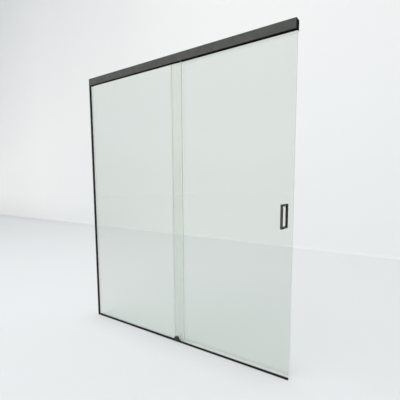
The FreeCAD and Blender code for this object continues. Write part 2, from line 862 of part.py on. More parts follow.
def roller_bearing_at(x):
    """Ball bearing as one ring, with its shields a little below the two races."""
    half = bearing_width / 2
    bore = axle_diameter / 2 + axle_running_clearance
    outside = bearing_diameter / 2
    return turned_y(x, roller_z, [
        (bore, roller_y - half),
        (bore + bearing_ring, roller_y - half),
        (bore + bearing_ring, roller_y - half + bearing_recess),
        (outside - bearing_ring, roller_y - half + bearing_recess),
        (outside - bearing_ring, roller_y - half),
        (outside, roller_y - half),
        (outside, roller_y + half),
        (outside - bearing_ring, roller_y + half),
        (outside - bearing_ring, roller_y + half - bearing_recess),
        (bore + bearing_ring, roller_y + half - bearing_recess),
        (bore + bearing_ring, roller_y + half),
        (bore, roller_y + half)])


def anti_jump_blocks():
    """Angle blocks over the top edge of the hanger plates, just under the roof."""
    bottom = hanger_top - jump_block_drop
    top = roof_under - jump_block_gap
    half = jump_block_length / 2
    blocks = []
    for centre in hanger_centres:
        block = prism("yz", centre - half, centre + half, [
            (jump_block_face, bottom, 0),
            (jump_block_face, top, edge_round),
            (hanger_back, top, 0),
            (hanger_back, hanger_top, 0),
            (hanger_front, hanger_top, 0),
            (hanger_front, bottom, 0)])
        blocks.append(block.cut(rod_y(centre, jump_block_face - cut_overrun, hanger_front + cut_overrun,
                                      jump_screw_z, jump_screw_diameter + screw_clearance)))
    return Part.makeCompound(blocks)


def anti_jump_screws():
    """Screws that hold the angle blocks on the hanger plates."""
    screws = []
    for x in hanger_centres:
        head_face = jump_block_face - jump_screw_head
        tip = hanger_back - jump_screw_recess
        head = rod_y(x, head_face, jump_block_face, jump_screw_z, jump_screw_head_diameter)
        shank = rod_y(x, jump_block_face, tip, jump_screw_z, jump_screw_diameter)
        screws.append(joined([head, shank]))
    return Part.makeCompound(screws)


def handle_front():
    """Square-bar pull before the glass, with a blind hole in each arm for its stud."""
    face = slide_front - handle_reach
    bottom = handle_middle - handle_height / 2
    top = handle_middle + handle_height / 2
    pull = prism("yz", handle_x - handle_bar / 2, handle_x + handle_bar / 2, [
        (handle_foot, bottom, 0),
        (face, bottom, handle_corner_round),
        (face, top, handle_corner_round),
        (handle_foot, top, 0),
        (handle_foot, top - handle_bar, 0),
        (face + handle_bar, top - handle_bar, handle_corner_round),
        (face + handle_bar, bottom + handle_bar, handle_corner_round),
        (handle_foot, bottom + handle_bar, 0)])
    sides = [edge for edge in pull.Edges
             if edge.BoundBox.XLength < edge_round and handle_foot - edge.BoundBox.YMin > edge_round]
    depth = handle_stud_bite + handle_blind_gap
    holes = [rod_y(handle_x, handle_foot - depth, handle_foot + cut_overrun, height,
                   handle_stud_diameter + screw_clearance) for height in handle_bolt_heights]
    return less(pull.makeFillet(edge_round, sides), holes)


def handle_rear():
    """The same pull behind the glass, with a screw hole under each arm."""
    pull = handle_front().mirror(FreeCAD.Vector(0, 0, 0), FreeCAD.Vector(0, 1, 0))
    below = handle_bar / 2 + cut_overrun
    grub_hole = grub_diameter + screw_clearance
    holes = [rod_z(handle_x, grub_y, height - below, height, grub_hole) for height in handle_bolt_heights]
    return less(pull, holes)


def handle_grub_screws():
    """Headless screws under the rear handle's arms, which hold its studs."""
    low = handle_bar / 2 - grub_recess
    high = handle_stud_diameter / 2 + grub_gap
    return Part.makeCompound([rod_z(handle_x, grub_y, height - low, height - high, grub_diameter)
                              for height in handle_bolt_heights])


def handle_studs():
    """Two studs that join the pulls through the glass."""
    y0 = handle_foot - handle_stud_bite
    y1 = slide_back + handle_washer + handle_stud_bite
    studs = [rod_y(handle_x, y0, y1, height, handle_stud_diameter) for height in handle_bolt_heights]
    return Part.makeCompound(studs)


def handle_washers():
    """Clear washers between the pulls and the glass."""
    inside = handle_stud_diameter + screw_clearance * 2
    return Part.makeCompound([sleeve(handle_x, y, y + handle_washer, height, handle_washer_diameter, inside)
                              for height in handle_bolt_heights for y in (handle_foot, slide_back)])


def handle_bushes():
    """Sleeves that keep the studs off the glass."""
    outside = handle_glass_hole - screw_clearance * 2
    inside = handle_stud_diameter + screw_clearance * 2
    return Part.makeCompound([sleeve(handle_x, slide_front, slide_back, height, outside, inside)
                              for height in handle_bolt_heights])


def panel_overlap_seal():
    """Clear strip clipped on the sliding pane's left edge, with a fin that reaches for the fixed pane."""
    x0 = slide_left - seal_web
    x1 = slide_left + seal_bite
    return prism("xy", shoe_height + seal_end_gap, underside - seal_end_gap, [
        (x0, fixed_back + seal_fin_gap, 0),
        (x0, slide_back + seal_leg, 0),
        (x1, slide_back + seal_leg, 0),
        (x1, slide_back, 0),
        (slide_left, slide_back, 0),
        (slide_left, slide_front, 0),
        (x1, slide_front, 0),
        (x1, slide_front - seal_leg, 0),
        (x0 + seal_fin, slide_front - seal_leg, 0),
        (x0 + seal_fin, fixed_back + seal_fin_gap, 0)])


def write(name, shape):
    """One node as its own file."""
    shape.exportStep(os.path.join("parts", name + ".step"))


os.makedirs("parts", exist_ok=True)

# Parts that stand still
write("header_fascia", header_fascia())
write("header_track", header_track())
write("roller_rail", roller_rail())
write("header_filler_strip", header_filler_strip())
write("header_glazing_gasket", header_glazing_gasket())
write("header_bracket_left", header_end_bracket(-1))
write("header_bracket_right", header_end_bracket(1))
write("header_bracket_screws", header_bracket_screws())
write("end_stop_left", end_stop(-1))
write("end_stop_right", end_stop(1))
write("end_stop_bumpers", end_stop_bumpers())
write("end_stop_screws", end_stop_screws())
write("fixed_glass", fixed_glass())
write("wall_jamb", wall_jamb())
write("jamb_glazing_tape", jamb_glazing_tape())
write("jamb_glazing_gasket", jamb_glazing_gasket())
write("bottom_channel", bottom_channel())
write("bottom_glazing_tape", bottom_glazing_tape())
write("bottom_glazing_gasket", bottom_glazing_gasket())
write("setting_blocks", setting_blocks())
write("threshold_bar", threshold_bar())
write("threshold_end_cap", threshold_end_cap())
write("bottom_guide", bottom_guide())
write("guide_shoe", guide_shoe())
write("guide_liners", guide_liners())

# Parts that slide with the door
write("sliding_glass", sliding_glass())
write("hanger_plate_left", hanger_plate_at(hanger_centres[0]))
write("hanger_plate_right", hanger_plate_at(hanger_centres[1]))
write("hanger_back_plate_left", hanger_back_plate_at(hanger_centres[0]))
write("hanger_back_plate_right", hanger_back_plate_at(hanger_centres[1]))
write("hanger_gaskets", hanger_gaskets())
write("hanger_bolts", hanger_bolts())
write("hanger_bushes", hanger_bushes())
write("roller_axles", roller_axles())
write("anti_jump_blocks", anti_jump_blocks())
write("anti_jump_screws", anti_jump_screws())
write("handle_front", handle_front())
write("handle_rear", handle_rear())
write("handle_studs", handle_studs())
write("handle_washers", handle_washers())
write("handle_bushes", handle_bushes())
write("handle_grub_screws", handle_grub_screws())
write("panel_overlap_seal", panel_overlap_seal())

# Rollers, each turning on its own axle
for number, place in enumerate(roller_places, start=1):
    write(f"roller_tyre_{number}", roller_tyre_at(place))
    write(f"roller_bearing_{number}", roller_bearing_at(place))
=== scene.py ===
import functools
import logging
import math
from collections.abc import Mapping, Sequence
from dataclasses import dataclass
from enum import Enum
from typing import ClassVar, NamedTuple

import bmesh
import bpy
import numpy as np
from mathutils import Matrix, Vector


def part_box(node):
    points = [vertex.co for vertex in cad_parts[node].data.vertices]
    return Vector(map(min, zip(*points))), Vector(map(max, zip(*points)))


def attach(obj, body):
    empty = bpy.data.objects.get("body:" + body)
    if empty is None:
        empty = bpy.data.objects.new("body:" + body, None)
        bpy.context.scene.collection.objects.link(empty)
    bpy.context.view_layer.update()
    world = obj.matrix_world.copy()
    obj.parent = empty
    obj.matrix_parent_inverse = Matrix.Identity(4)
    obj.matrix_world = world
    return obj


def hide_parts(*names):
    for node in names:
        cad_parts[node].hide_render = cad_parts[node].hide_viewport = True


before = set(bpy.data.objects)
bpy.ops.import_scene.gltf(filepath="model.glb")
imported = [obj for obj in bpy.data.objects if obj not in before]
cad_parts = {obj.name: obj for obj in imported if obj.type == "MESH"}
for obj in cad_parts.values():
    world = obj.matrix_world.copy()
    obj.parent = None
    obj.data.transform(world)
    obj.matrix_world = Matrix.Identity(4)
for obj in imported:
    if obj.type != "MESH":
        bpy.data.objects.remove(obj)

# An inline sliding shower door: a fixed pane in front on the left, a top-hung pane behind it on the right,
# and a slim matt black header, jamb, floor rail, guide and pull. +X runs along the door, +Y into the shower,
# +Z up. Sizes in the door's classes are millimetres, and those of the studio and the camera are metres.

LOG = logging.getLogger("shower_door")
MM = 0.001
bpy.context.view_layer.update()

# Noise keeps mostly between these two values, which a pattern stretches to its own.
NOISE_SPAN = (0.3, 0.7)
# Smallest radius of a corner in millimetres, as given and once it is drawn in.
LEAST_RADIUS = 0.08
LEAST_DRAWN_IN = 0.02
# Most of a side that a corner's arc may take up, and that the point before or after it may.
ARC_SHARE = 0.4
LEAD_SHARE = 0.08
# Points nearer than this, in metres, are one, and edges that turn by more than this, in degrees, stay sharp.
MERGE = 2e-6
SHARP = 38

Tree = bpy.types.NodeTree
Socket = bpy.types.NodeSocket
Corner = tuple[float, float, float]


class Axis(Enum):
    """Direction that a profile is carried along or turned about.

    The values are where the profile's u and v and the distance along the axis go among x, y and z.
    """

    X = (1, 2, 0)
    Y = (0, 2, 1)
    Z = (0, 1, 2)

    def place(self, u: np.ndarray, v: np.ndarray, along: np.ndarray) -> np.ndarray:
        """Points in space for profile values u and v at a distance along the axis."""
        return np.stack(np.broadcast_arrays(u, v, along), axis=-1)[..., np.argsort(self.value)]


class Body(Enum):
    """What a piece moves with."""

    FRAME = "frame"
    SLIDER = "sliding_door"
    ROLLER_1 = "roller_1"
    ROLLER_2 = "roller_2"
    ROLLER_3 = "roller_3"
    ROLLER_4 = "roller_4"


class Slot(Enum):
    """Material slots of the record."""

    BLACK_METAL = "black_metal"
    GLASS = "glass"
    STEEL = "stainless_steel"
    BLACK_PLASTIC = "black_plastic"
    RUBBER = "black_rubber"
    FOAM = "black_foam"
    CLEAR_PLASTIC = "clear_plastic"
    NYLON = "white_nylon"


# Node trees, colours and patterns

def linear(code: str, alpha: float = 1.0) -> tuple[float, float, float, float]:
    """Linear colour of an sRGB hex value.

    Args:
        code: the colour, as #rrggbb.
        alpha: the fourth value.

    Returns:
        Red, green, blue and alpha, linear.
    """
    srgb = np.array([int(code[i:i + 2], 16) for i in (1, 3, 5)]) / 255
    made = np.where(srgb <= 0.04045, srgb / 12.92, ((srgb + 0.055) / 1.055) ** 2.4)
    return (*made.tolist(), alpha)


def add(tree: Tree, kind: str, values: Mapping | None = None, links: Mapping | None = None,
        **settings: object) -> bpy.types.Node:
    """Adds one node to a tree.

    Args:
        tree: the node tree.
        kind: the node's type.
        values: what to set on its inputs, by name or number.
        links: the sockets that feed its inputs, by name or number.
        settings: the node's own properties.

    Returns:
        The node.
    """
    made = tree.nodes.new(kind)
    for key, value in settings.items():
        setattr(made, key, value)
    for key, value in (values or {}).items():
        made.inputs[key].default_value = value
    for key, socket in (links or {}).items():
        tree.links.new(socket, made.inputs[key])
    return made


class Spots(NamedTuple):
    """Noise of one size, in millimetres, with finer layers, stretched between two values."""

    size_mm: float
    layers: float
    low: float = 0.0
    high: float = 1.0

    def drawn(self, tree: Tree, point: Socket) -> Socket:
        """Adds the noise and its stretch.

        Args:
            tree: the node tree.
            point: the coordinates that it reads.

        Returns:
            The socket that carries the value.
        """
        noise = add(tree, "ShaderNodeTexNoise", {"Scale": 1.0 / (self.size_mm * MM), "Detail": self.layers},
                    {"Vector": point})
        spread = add(tree, "ShaderNodeMapRange", {"From Min": NOISE_SPAN[0], "From Max": NOISE_SPAN[1],
                                                  "To Min": self.low, "To Max": self.high},
                     {"Value": noise.outputs["Fac"]})
        return spread.outputs["Result"]


class Relief(NamedTuple):
    """Bumps: the spots that they follow, their strength from 0 to 1, and their depth in metres."""

    spots: Spots
    strength: float
    depth: float


# Finishes

class Finish:
    """A finish that paints its own material, once."""

    name: str
    slot: ClassVar[Slot | None] = None

    def paint(self, tree: Tree) -> Socket:
        """Puts the finish's nodes into the tree and returns the shader's socket."""
        raise NotImplementedError

    def material(self) -> bpy.types.Material:
        """Makes the finish's material the first time it is asked for.

        Returns:
            The material.
        """
        made = bpy.data.materials.get(self.name)
        if made is None:
            made = bpy.data.materials.new(self.name)
            made.use_nodes = True
            made.node_tree.nodes.clear()
            add(made.node_tree, "ShaderNodeOutputMaterial", links={"Surface": self.paint(made.node_tree)})
        return made


@dataclass(frozen=True)
class Skin(Finish):
    """Two colours in clouds, an even or uneven dullness, and layers of relief.

    A squeeze under 1 draws every pattern out along X, into lines. Patterns that are really finer than about
    half a millimetre are drawn that coarse, because finer ones don't show in the render.
    """

    name: str
    dark: str
    light: str
    clouds: Spots
    reliefs: tuple[Relief, ...]
    dullness: Spots | float
    squeeze: float = 1.0
    ior: float = 1.5
    shine: float = 0.5

    def constants(self) -> dict[str, float]:
        """What is set on the shader's own sockets."""
        return {"IOR": self.ior, "Specular IOR Level": self.shine}

    def painted_light_over(self, tree: Tree, colour: Socket) -> Socket:
        """The colour with painted light over it; a plain skin has none."""
        return colour

    def paint(self, tree: Tree) -> Socket:
        """Draws the clouds, the dullness and the reliefs, each relief over the last.

        Args:
            tree: the material's node tree.

        Returns:
            The shader's socket.
        """
        point = add(tree, "ShaderNodeTexCoord").outputs["Object"]
        if self.squeeze != 1.0:
            point = add(tree, "ShaderNodeMapping", {"Scale": (self.squeeze, 1.0, 1.0)},
                        {"Vector": point}).outputs[0]
        colour = add(tree, "ShaderNodeMix", {6: linear(self.dark), 7: linear(self.light)},
                     {0: self.clouds.drawn(tree, point)}, data_type="RGBA").outputs[2]
        values = self.constants()
        links = {"Base Color": self.painted_light_over(tree, colour)}
        if isinstance(self.dullness, Spots):
            links["Roughness"] = self.dullness.drawn(tree, point)
        else:
            values["Roughness"] = self.dullness
        normal: dict[str, Socket] = {}
        for relief in self.reliefs:
            bump = add(tree, "ShaderNodeBump", {"Strength": relief.strength, "Distance": relief.depth},
                       {"Height": relief.spots.drawn(tree, point), **normal})
            normal = {"Normal": bump.outputs["Normal"]}
        return add(tree, "ShaderNodeBsdfPrincipled", values, {**links, **normal}).outputs[0]


@dataclass(frozen=True)
class PowderCoat(Skin):
    """Polyester powder baked on aluminium.

    The eye gets a matt near-black with soft cloudiness and an uneven sheen, over the low orange peel that
    the powder leaves as it flows, 1.4 mm wide, and its grit, drawn 0.45 mm wide so that it shows.
    """

    slot: ClassVar[Slot | None] = Slot.BLACK_METAL
    name: str = "matt_black_powder_coat"
    dark: str = "#262625"
    light: str = "#2e2e2d"
    clouds: Spots = Spots(45.0, 3.0)
    reliefs: tuple[Relief, ...] = (Relief(Spots(1.4, 2.0), 0.35, 0.00012),
                                   Relief(Spots(0.45, 1.0), 0.25, 0.00005))
    dullness: Spots | float = Spots(18.0, 4.0, 0.52, 0.64)
    shine: float = 0.15


@dataclass(frozen=True)
class Anodised(Skin):
    """Aluminium anodised black: a deep, dull film that keeps the faint lines of the extrusion die along X.

    The lines are some 400 mm long, and are drawn 0.7 mm wide, coarser than the real ones, so that they show.
    Faces that look up or back are painted a lighter black, as painted light, so that the eye can tell them
    from the deep underside. Edges that face the front may carry the cover's lighter powder colour instead, as
    painted light, so that they read as part of its face.
    """

    slot: ClassVar[Slot | None] = Slot.BLACK_METAL
    name: str = "black_anodised_aluminium_painted_light"
    dark: str = "#070707"
    light: str = "#0d0d0d"
    clouds: Spots = Spots(0.7, 2.0)
    reliefs: tuple[Relief, ...] = (Relief(Spots(0.7, 2.0), 0.2, 0.00003),)
    dullness: Spots | float = Spots(1.4, 2.0, 0.54, 0.66)
    squeeze: float = 0.7 / 400.0
    shine: float = 0.02
    # painted light: a lighter black on faces that look up or back, and an optional lit colour on faces
    # towards the front
    painted_light_up_back: str = "#444443"
    front: str | None = None
    facing: float = 0.7

    def painted_light_over(self, tree: Tree, colour: Socket) -> Socket:
        """Paints light into the colour: a lighter black where a face looks up or back, and the front's colour
        where it looks forward.

        Args:
            tree: the material's node tree.
            colour: the film's own colour.

        Returns:
            The socket with the colour that shows.
        """
        normal = add(tree, "ShaderNodeNewGeometry").outputs["True Normal"]
        way = add(tree, "ShaderNodeSeparateXYZ", links={"Vector": normal}).outputs
        outward = add(tree, "ShaderNodeMath", links={0: way["Y"], 1: way["Z"]},
                      operation="MAXIMUM").outputs[0]
        tests = [("GREATER_THAN", outward, self.facing, self.painted_light_up_back)]
        if self.front is not None:
            tests.append(("LESS_THAN", way["Y"], -self.facing, self.front))
        for operation, turn, limit, code in tests:
            share = add(tree, "ShaderNodeMath", {1: limit}, {0: turn}, operation=operation).outputs[0]
            colour = add(tree, "ShaderNodeMix", {7: linear(code)}, {0: share, 6: colour},
                         data_type="RGBA").outputs[2]
        return colour


@dataclass(frozen=True)
class BrushedSteel(Skin):
    """Stainless steel drawn over a belt: the eye gets a soft sheen across fine parallel lines along X.

    The lines are some 40 mm long, and are drawn 0.5 mm wide, coarser than the real ones, so that they show.
    """

    slot: ClassVar[Slot | None] = Slot.STEEL
    name: str = "brushed_stainless_steel"
    dark: str = "#a9a9a6"
    light: str = "#c6c6c2"
    clouds: Spots = Spots(0.5, 2.0)
    reliefs: tuple[Relief, ...] = (Relief(Spots(0.5, 2.0), 0.2, 0.00003),)
    dullness: Spots | float = Spots(1.0, 2.0, 0.22, 0.38)
    squeeze: float = 0.5 / 40.0

    def constants(self) -> dict[str, float]:
        """Metal, with the shader's own IOR."""
        return {"Metallic": 1.0}


@dataclass(frozen=True)
class MouldedNylon(Skin):
    """Injection-moulded nylon with a spark-eroded skin: dull, a little cloudy, with pits 0.5 mm wide."""

    slot: ClassVar[Slot | None] = Slot.BLACK_PLASTIC
    name: str = "moulded_black_nylon"
    dark: str = "#181818"
    light: str = "#212120"
    clouds: Spots = Spots(12.0, 3.0)
    reliefs: tuple[Relief, ...] = (Relief(Spots(0.5, 2.0), 0.4, 0.00005),)
    dullness: Spots | float = Spots(6.0, 2.0, 0.53, 0.63)
    ior: float = 1.53
    shine: float = 0.15


@dataclass(frozen=True)
class Rubber(Skin):
    """Extruded synthetic rubber: deep black and dull, with 0.8 mm drawn lines and pale patches of talc."""

    slot: ClassVar[Slot | None] = Slot.RUBBER
    name: str = "extruded_black_rubber"
    dark: str = "#161616"
    light: str = "#2b2b2a"
    clouds: Spots = Spots(9.0, 5.0, -0.3, 1.0)
    reliefs: tuple[Relief, ...] = (Relief(Spots(0.8, 2.0), 0.3, 0.00005),)
    dullness: Spots | float = 0.75
    ior: float = 1.52


@dataclass(frozen=True)
class ClearVinyl(Skin):
    """Soft clear vinyl, extruded or moulded: see-through, with a cool haze and faint 1.2 mm drawn lines."""

    slot: ClassVar[Slot | None] = Slot.CLEAR_PLASTIC
    name: str = "clear_soft_vinyl"
    dark: str = "#eef3f1"
    light: str = "#e2e9e6"
    clouds: Spots = Spots(30.0, 2.0)
    reliefs: tuple[Relief, ...] = (Relief(Spots(1.2, 1.0), 0.15, 0.00004),)
    dullness: Spots | float = Spots(8.0, 2.0, 0.31, 0.43)
    shine: float = 0.1
    body_share: float = 0.07

    def constants(self) -> dict[str, float]:
        """A hazy body that lets most of what is behind it through."""
        return super().constants() | {"Alpha": self.body_share}


@dataclass(frozen=True)
class NaturalNylon(Skin):
    """Turned or moulded natural nylon: warm milky white, waxy, with light tool marks 0.6 mm wide."""

    slot: ClassVar[Slot | None] = Slot.NYLON
    name: str = "natural_nylon"
    dark: str = "#e3e1d9"
    light: str = "#d2cfc4"
    clouds: Spots = Spots(7.0, 3.0)
    reliefs: tuple[Relief, ...] = (Relief(Spots(0.6, 2.0), 0.25, 0.00004),)
    dullness: Spots | float = 0.42
    ior: float = 1.53
    spread: float = 0.15
    spread_depth: float = 0.002

    def constants(self) -> dict[str, float]:
        """A little light spreads under the skin."""
        spread = {"Subsurface Weight": self.spread, "Subsurface Scale": self.spread_depth}
        return super().constants() | spread


@dataclass(frozen=True)
class CellFoam(Finish):
    """Closed-cell glazing foam: dull black with open cells, 0.7 mm wide, where it is cut."""

    slot: ClassVar[Slot | None] = Slot.FOAM
    name: str = "black_cell_foam"
    dark: str = "#111111"
    light: str = "#2a2a29"
    cell_mm: float = 0.7
    cell_strength: float = 0.6
    cell_depth: float = 0.0002
    dullness: float = 0.9

    def paint(self, tree: Tree) -> Socket:
        """Round cells in bump, with each cell's hollow painted darker as painted shade.

        Args:
            tree: the material's node tree.

        Returns:
            The shader's socket.
        """
        point = add(tree, "ShaderNodeTexCoord").outputs["Object"]
        cells = add(tree, "ShaderNodeTexVoronoi", {"Scale": 1.0 / (self.cell_mm * MM)},
                    {"Vector": point}).outputs["Distance"]
        # painted shade: the colour darkens where the bump sinks, in each cell's hollow
        colour = add(tree, "ShaderNodeMix", {6: linear(self.dark), 7: linear(self.light)}, {0: cells},
                     data_type="RGBA").outputs[2]
        bump = add(tree, "ShaderNodeBump", {"Strength": self.cell_strength, "Distance": self.cell_depth},
                   {"Height": cells})
        return add(tree, "ShaderNodeBsdfPrincipled", {"IOR": 1.5, "Roughness": self.dullness},
                   {"Base Color": colour, "Normal": bump.outputs["Normal"]}).outputs[0]


@dataclass(frozen=True)
class ToughenedGlass(Finish):
    """Clear float glass, toughened, with slight roller waves 260 mm long and ground and polished edges.

    The eye gets a faint, even green-grey tint through the faces, and pale dull edges that scatter light. The
    grinding marks are drawn 0.6 mm wide, coarser than the real ones, so that they show.
    """

    slot: ClassVar[Slot | None] = Slot.GLASS
    name: str = "clear_toughened_glass"
    face: str = "#f3f5f2"
    edge: str = "#f1f8f4"
    wave: Relief = Relief(Spots(260.0, 0.0), 0.15, 0.0006)
    grind: Relief = Relief(Spots(0.6, 2.0), 1.0, 0.00004)
    facing: float = 0.9
    edge_dullness: float = 0.3
    frost: float = 1.0
    ior: float = 1.5
    shine: float = 0.1

    def paint(self, tree: Tree) -> Socket:
        """Refracting glass that lamps shine through; the ground edges are told by how they face.

        Args:
            tree: the material's node tree.

        Returns:
            The shader's socket.
        """
        point = add(tree, "ShaderNodeTexCoord").outputs["Object"]
        normal = add(tree, "ShaderNodeNewGeometry").outputs["True Normal"]
        depth = add(tree, "ShaderNodeSeparateXYZ", links={"Vector": normal}).outputs["Y"]
        turn = add(tree, "ShaderNodeMath", links={0: depth}, operation="ABSOLUTE").outputs[0]
        on_edge = add(tree, "ShaderNodeMath", {1: self.facing}, {0: turn}, operation="LESS_THAN").outputs[0]
        colour = add(tree, "ShaderNodeMix", {6: linear(self.face), 7: linear(self.edge)}, {0: on_edge},
                     data_type="RGBA").outputs[2]
        dull = add(tree, "ShaderNodeMath", {1: self.edge_dullness}, {0: on_edge},
                   operation="MULTIPLY").outputs[0]
        through = add(tree, "ShaderNodeMath", {1: -self.frost, 2: 1.0}, {0: on_edge},
                      operation="MULTIPLY_ADD").outputs[0]
        wave = add(tree, "ShaderNodeBump", {"Strength": self.wave.strength, "Distance": self.wave.depth},
                   {"Height": self.wave.spots.drawn(tree, point)})
        grind = add(tree, "ShaderNodeBump", {"Distance": self.grind.depth},
                    {"Strength": on_edge, "Height": self.grind.spots.drawn(tree, point),
                     "Normal": wave.outputs["Normal"]})
        glass = add(tree, "ShaderNodeBsdfPrincipled", {"IOR": self.ior, "Specular IOR Level": self.shine},
                    {"Base Color": colour, "Roughness": dull, "Transmission Weight": through,
                     "Normal": grind.outputs["Normal"]})
        clear = add(tree, "ShaderNodeBsdfTransparent", {"Color": linear(self.face)})
        lamp_ray = add(tree, "ShaderNodeLightPath").outputs["Is Shadow Ray"]
        return add(tree, "ShaderNodeMixShader",
                   links={0: lamp_ray, 1: glass.outputs[0], 2: clear.outputs[0]}).outputs[0]


# The cover's coat is the same black powder painted lighter, as painted light on the high front face.
COVER_LIT_COAT = PowderCoat("matt_black_cover_powder_coat_painted_light", "#4a4a49", "#535351")
POWDER = PowderCoat()
# The floor rail's and threshold's coat is the same black powder painted darker, as painted shade low by the
# floor.
FLOOR_SHADED_COAT = PowderCoat("matt_black_floor_powder_coat_painted_shade", "#171716", "#1e1e1d")
# The front pull's coat is the same black powder painted lighter, as painted light.
PULL_LIT_COAT = PowderCoat("matt_black_pull_powder_coat_painted_light", "#434342", "#4b4b4a")
# The rear pull's coat is the same black powder painted darker, as painted shade behind the glass.
REAR_PULL_SHADED_COAT = PowderCoat("matt_black_rear_pull_powder_coat_painted_shade", "#2b2b2a", "#323231")
ANODISED_PAINTED_LIGHT = Anodised()
END_PLATE_PAINTED_LIGHT = Anodised("black_anodised_end_plate_painted_light", front="#4e4e4d")
GLASS = ToughenedGlass()
STEEL = BrushedSteel()
NYLON_BLACK = MouldedNylon()
# The filler strip's nylon is the black nylon painted darker, as painted shade under the header.
UNDERSIDE_SHADED_NYLON = MouldedNylon("dull_black_filler_nylon_painted_shade", "#0a0a0a", "#101010", shine=0.03)
GUIDE_NYLON = MouldedNylon("moulded_guide_nylon", "#343433", "#3c3c3b")
RUBBER = Rubber()
FOAM = CellFoam()
VINYL = ClearVinyl()
NYLON_WHITE = NaturalNylon()


# Surfaces

def rounded_outline(corners: Sequence[Corner], steps: int = 6, flat: float = 0.3,
                    shrink: float = 0.0) -> np.ndarray:
    """Closed outline with all corners rounded, drawn in by a distance where wanted.

    Drawing in moves each corner along its bisector by the distance divided by the sine of half its angle,
    inwards at an outer corner and outwards at an inner one, and takes it from or adds it to the radius. Each
    arc touches the two sides at the radius divided by the tangent of half the angle, and its points blend the
    two end radii by sines about the arc's centre. One more point before and after each arc keeps the flats
    flat in shading.

    Args:
        corners: u, v and radius of each corner, in millimetres.
        steps: strips in each arc.
        flat: how far the extra points lie from the arc.
        shrink: how far the outline is drawn in.

    Returns:
        The outline's points, one row each, anticlockwise.
    """
    data = np.array(corners, float)
    u, v = data[:, 0], data[:, 1]
    if (u * np.roll(v, -1) - v * np.roll(u, -1)).sum() < 0:
        data = data[::-1]
    points = data[:, :2]
    before = np.roll(points, 1, axis=0) - points
    after = np.roll(points, -1, axis=0) - points
    length_before = np.linalg.norm(before, axis=1)
    length_after = np.linalg.norm(after, axis=1)
    before /= length_before[:, None]
    after /= length_after[:, None]
    half = np.arccos((before * after).sum(1).clip(-1, 1)) / 2
    middle = before + after
    middle /= np.linalg.norm(middle, axis=1)[:, None]
    outer = np.where(after[:, 0] * before[:, 1] - after[:, 1] * before[:, 0] > 0, 1.0, -1.0)
    shortest = np.minimum(length_before, length_after)
    whole = np.minimum(np.maximum(data[:, 2], LEAST_RADIUS), ARC_SHARE * shortest * np.tan(half))
    radius = np.maximum(whole - outer * shrink, LEAST_DRAWN_IN)
    reach = radius / np.tan(half)
    points = points + middle * (outer * shrink / np.sin(half))[:, None]
    centre = points + middle * (radius / np.sin(half))[:, None]
    start = points + before * reach[:, None] - centre
    end = points + after * reach[:, None] - centre
    turn = (math.pi - 2 * half)[:, None]
    share = np.linspace(0, 1, steps + 1)[None]
    first = np.sin((1 - share) * turn) / np.sin(turn)
    last = np.sin(share * turn) / np.sin(turn)
    arcs = centre[:, None] + first[..., None] * start[:, None] + last[..., None] * end[:, None]
    lead = np.minimum(flat, LEAD_SHARE * shortest)
    lead_in = points + before * (reach + lead)[:, None]
    lead_out = points + after * (reach + lead)[:, None]
    return np.concatenate([lead_in[:, None], arcs, lead_out[:, None]], axis=1).reshape(-1, 2)


@dataclass
class Surface:
    """A grid of points with its faces, in millimetres."""

    points: np.ndarray
    faces: list[list[int]]

    def joined(self, other: "Surface") -> "Surface":
        """Both surfaces as one."""
        moved = [[i + len(self.points) for i in face] for face in other.faces]
        return Surface(np.concatenate([self.points, other.points]), self.faces + moved)

    def mirrored(self) -> "Surface":
        """The surface seen in the door's mid-plane, with its faces turned back outwards."""
        return Surface(self.points * np.array([1.0, -1.0, 1.0]), [face[::-1] for face in self.faces])


def grid_faces(rings: int, sides: int, closed: bool) -> list[list[int]]:
    """Four-sided faces between neighbouring rings of a grid.

    Args:
        rings: number of rings.
        sides: points in each ring, which is closed on itself.
        closed: whether the last ring joins the first.

    Returns:
        One list of four point numbers for each face.
    """
    ring_row = np.arange(rings if closed else rings - 1)[:, None]
    side = np.arange(sides)[None]
    following = (ring_row + 1) % rings
    beside = (side + 1) % sides
    corners = np.stack(np.broadcast_arrays(ring_row * sides + side, ring_row * sides + beside,
                                           following * sides + beside, following * sides + side), axis=-1)
    return corners.reshape(-1, 4).tolist()


def carried(axis: Axis, corners: Sequence[Corner], span: tuple[float, float], rim: float = 0.3,
            rim_steps: int = 4, steps: int = 6) -> Surface:
    """Profile carried along a straight path, with both rims eased.

    The outline is repeated along the path. Near each end it is drawn in by the rim times one minus the sine
    of an angle, while it advances by the rim times one minus the cosine, for angles from 0 to 90 degrees. One
    smaller ring inside each end, and one more past each rim, keep the flats flat in shading.

    Args:
        axis: the path's direction.
        corners: the outline's corners with their radii.
        span: where the path starts and ends.
        rim: radius of the eased rims.
        rim_steps: strips in each rim.
        steps: strips in each corner of the outline.

    Returns:
        The closed surface.
    """
    start, end = span
    angle = np.linspace(0, math.pi / 2, rim_steps + 1)
    drawn_in = [rim * 1.4, *(rim * (1 - np.sin(angle))), 0.0]
    advance = np.array([0.0, *(rim * (1 - np.cos(angle))), rim + min(0.3, 0.2 * (end - start - 2 * rim))])
    half = np.stack([rounded_outline(corners, steps, shrink=distance) for distance in drawn_in])
    rings = np.concatenate([half, half[::-1]])
    along = np.concatenate([start + advance, end - advance[::-1]])
    points = axis.place(rings[..., 0], rings[..., 1], along[:, None])
    count, sides = rings.shape[:2]
    faces = grid_faces(count, sides, False)
    faces += [list(range(sides))[::-1], list(range((count - 1) * sides, count * sides))]
    return Surface(points.reshape(-1, 3), faces)


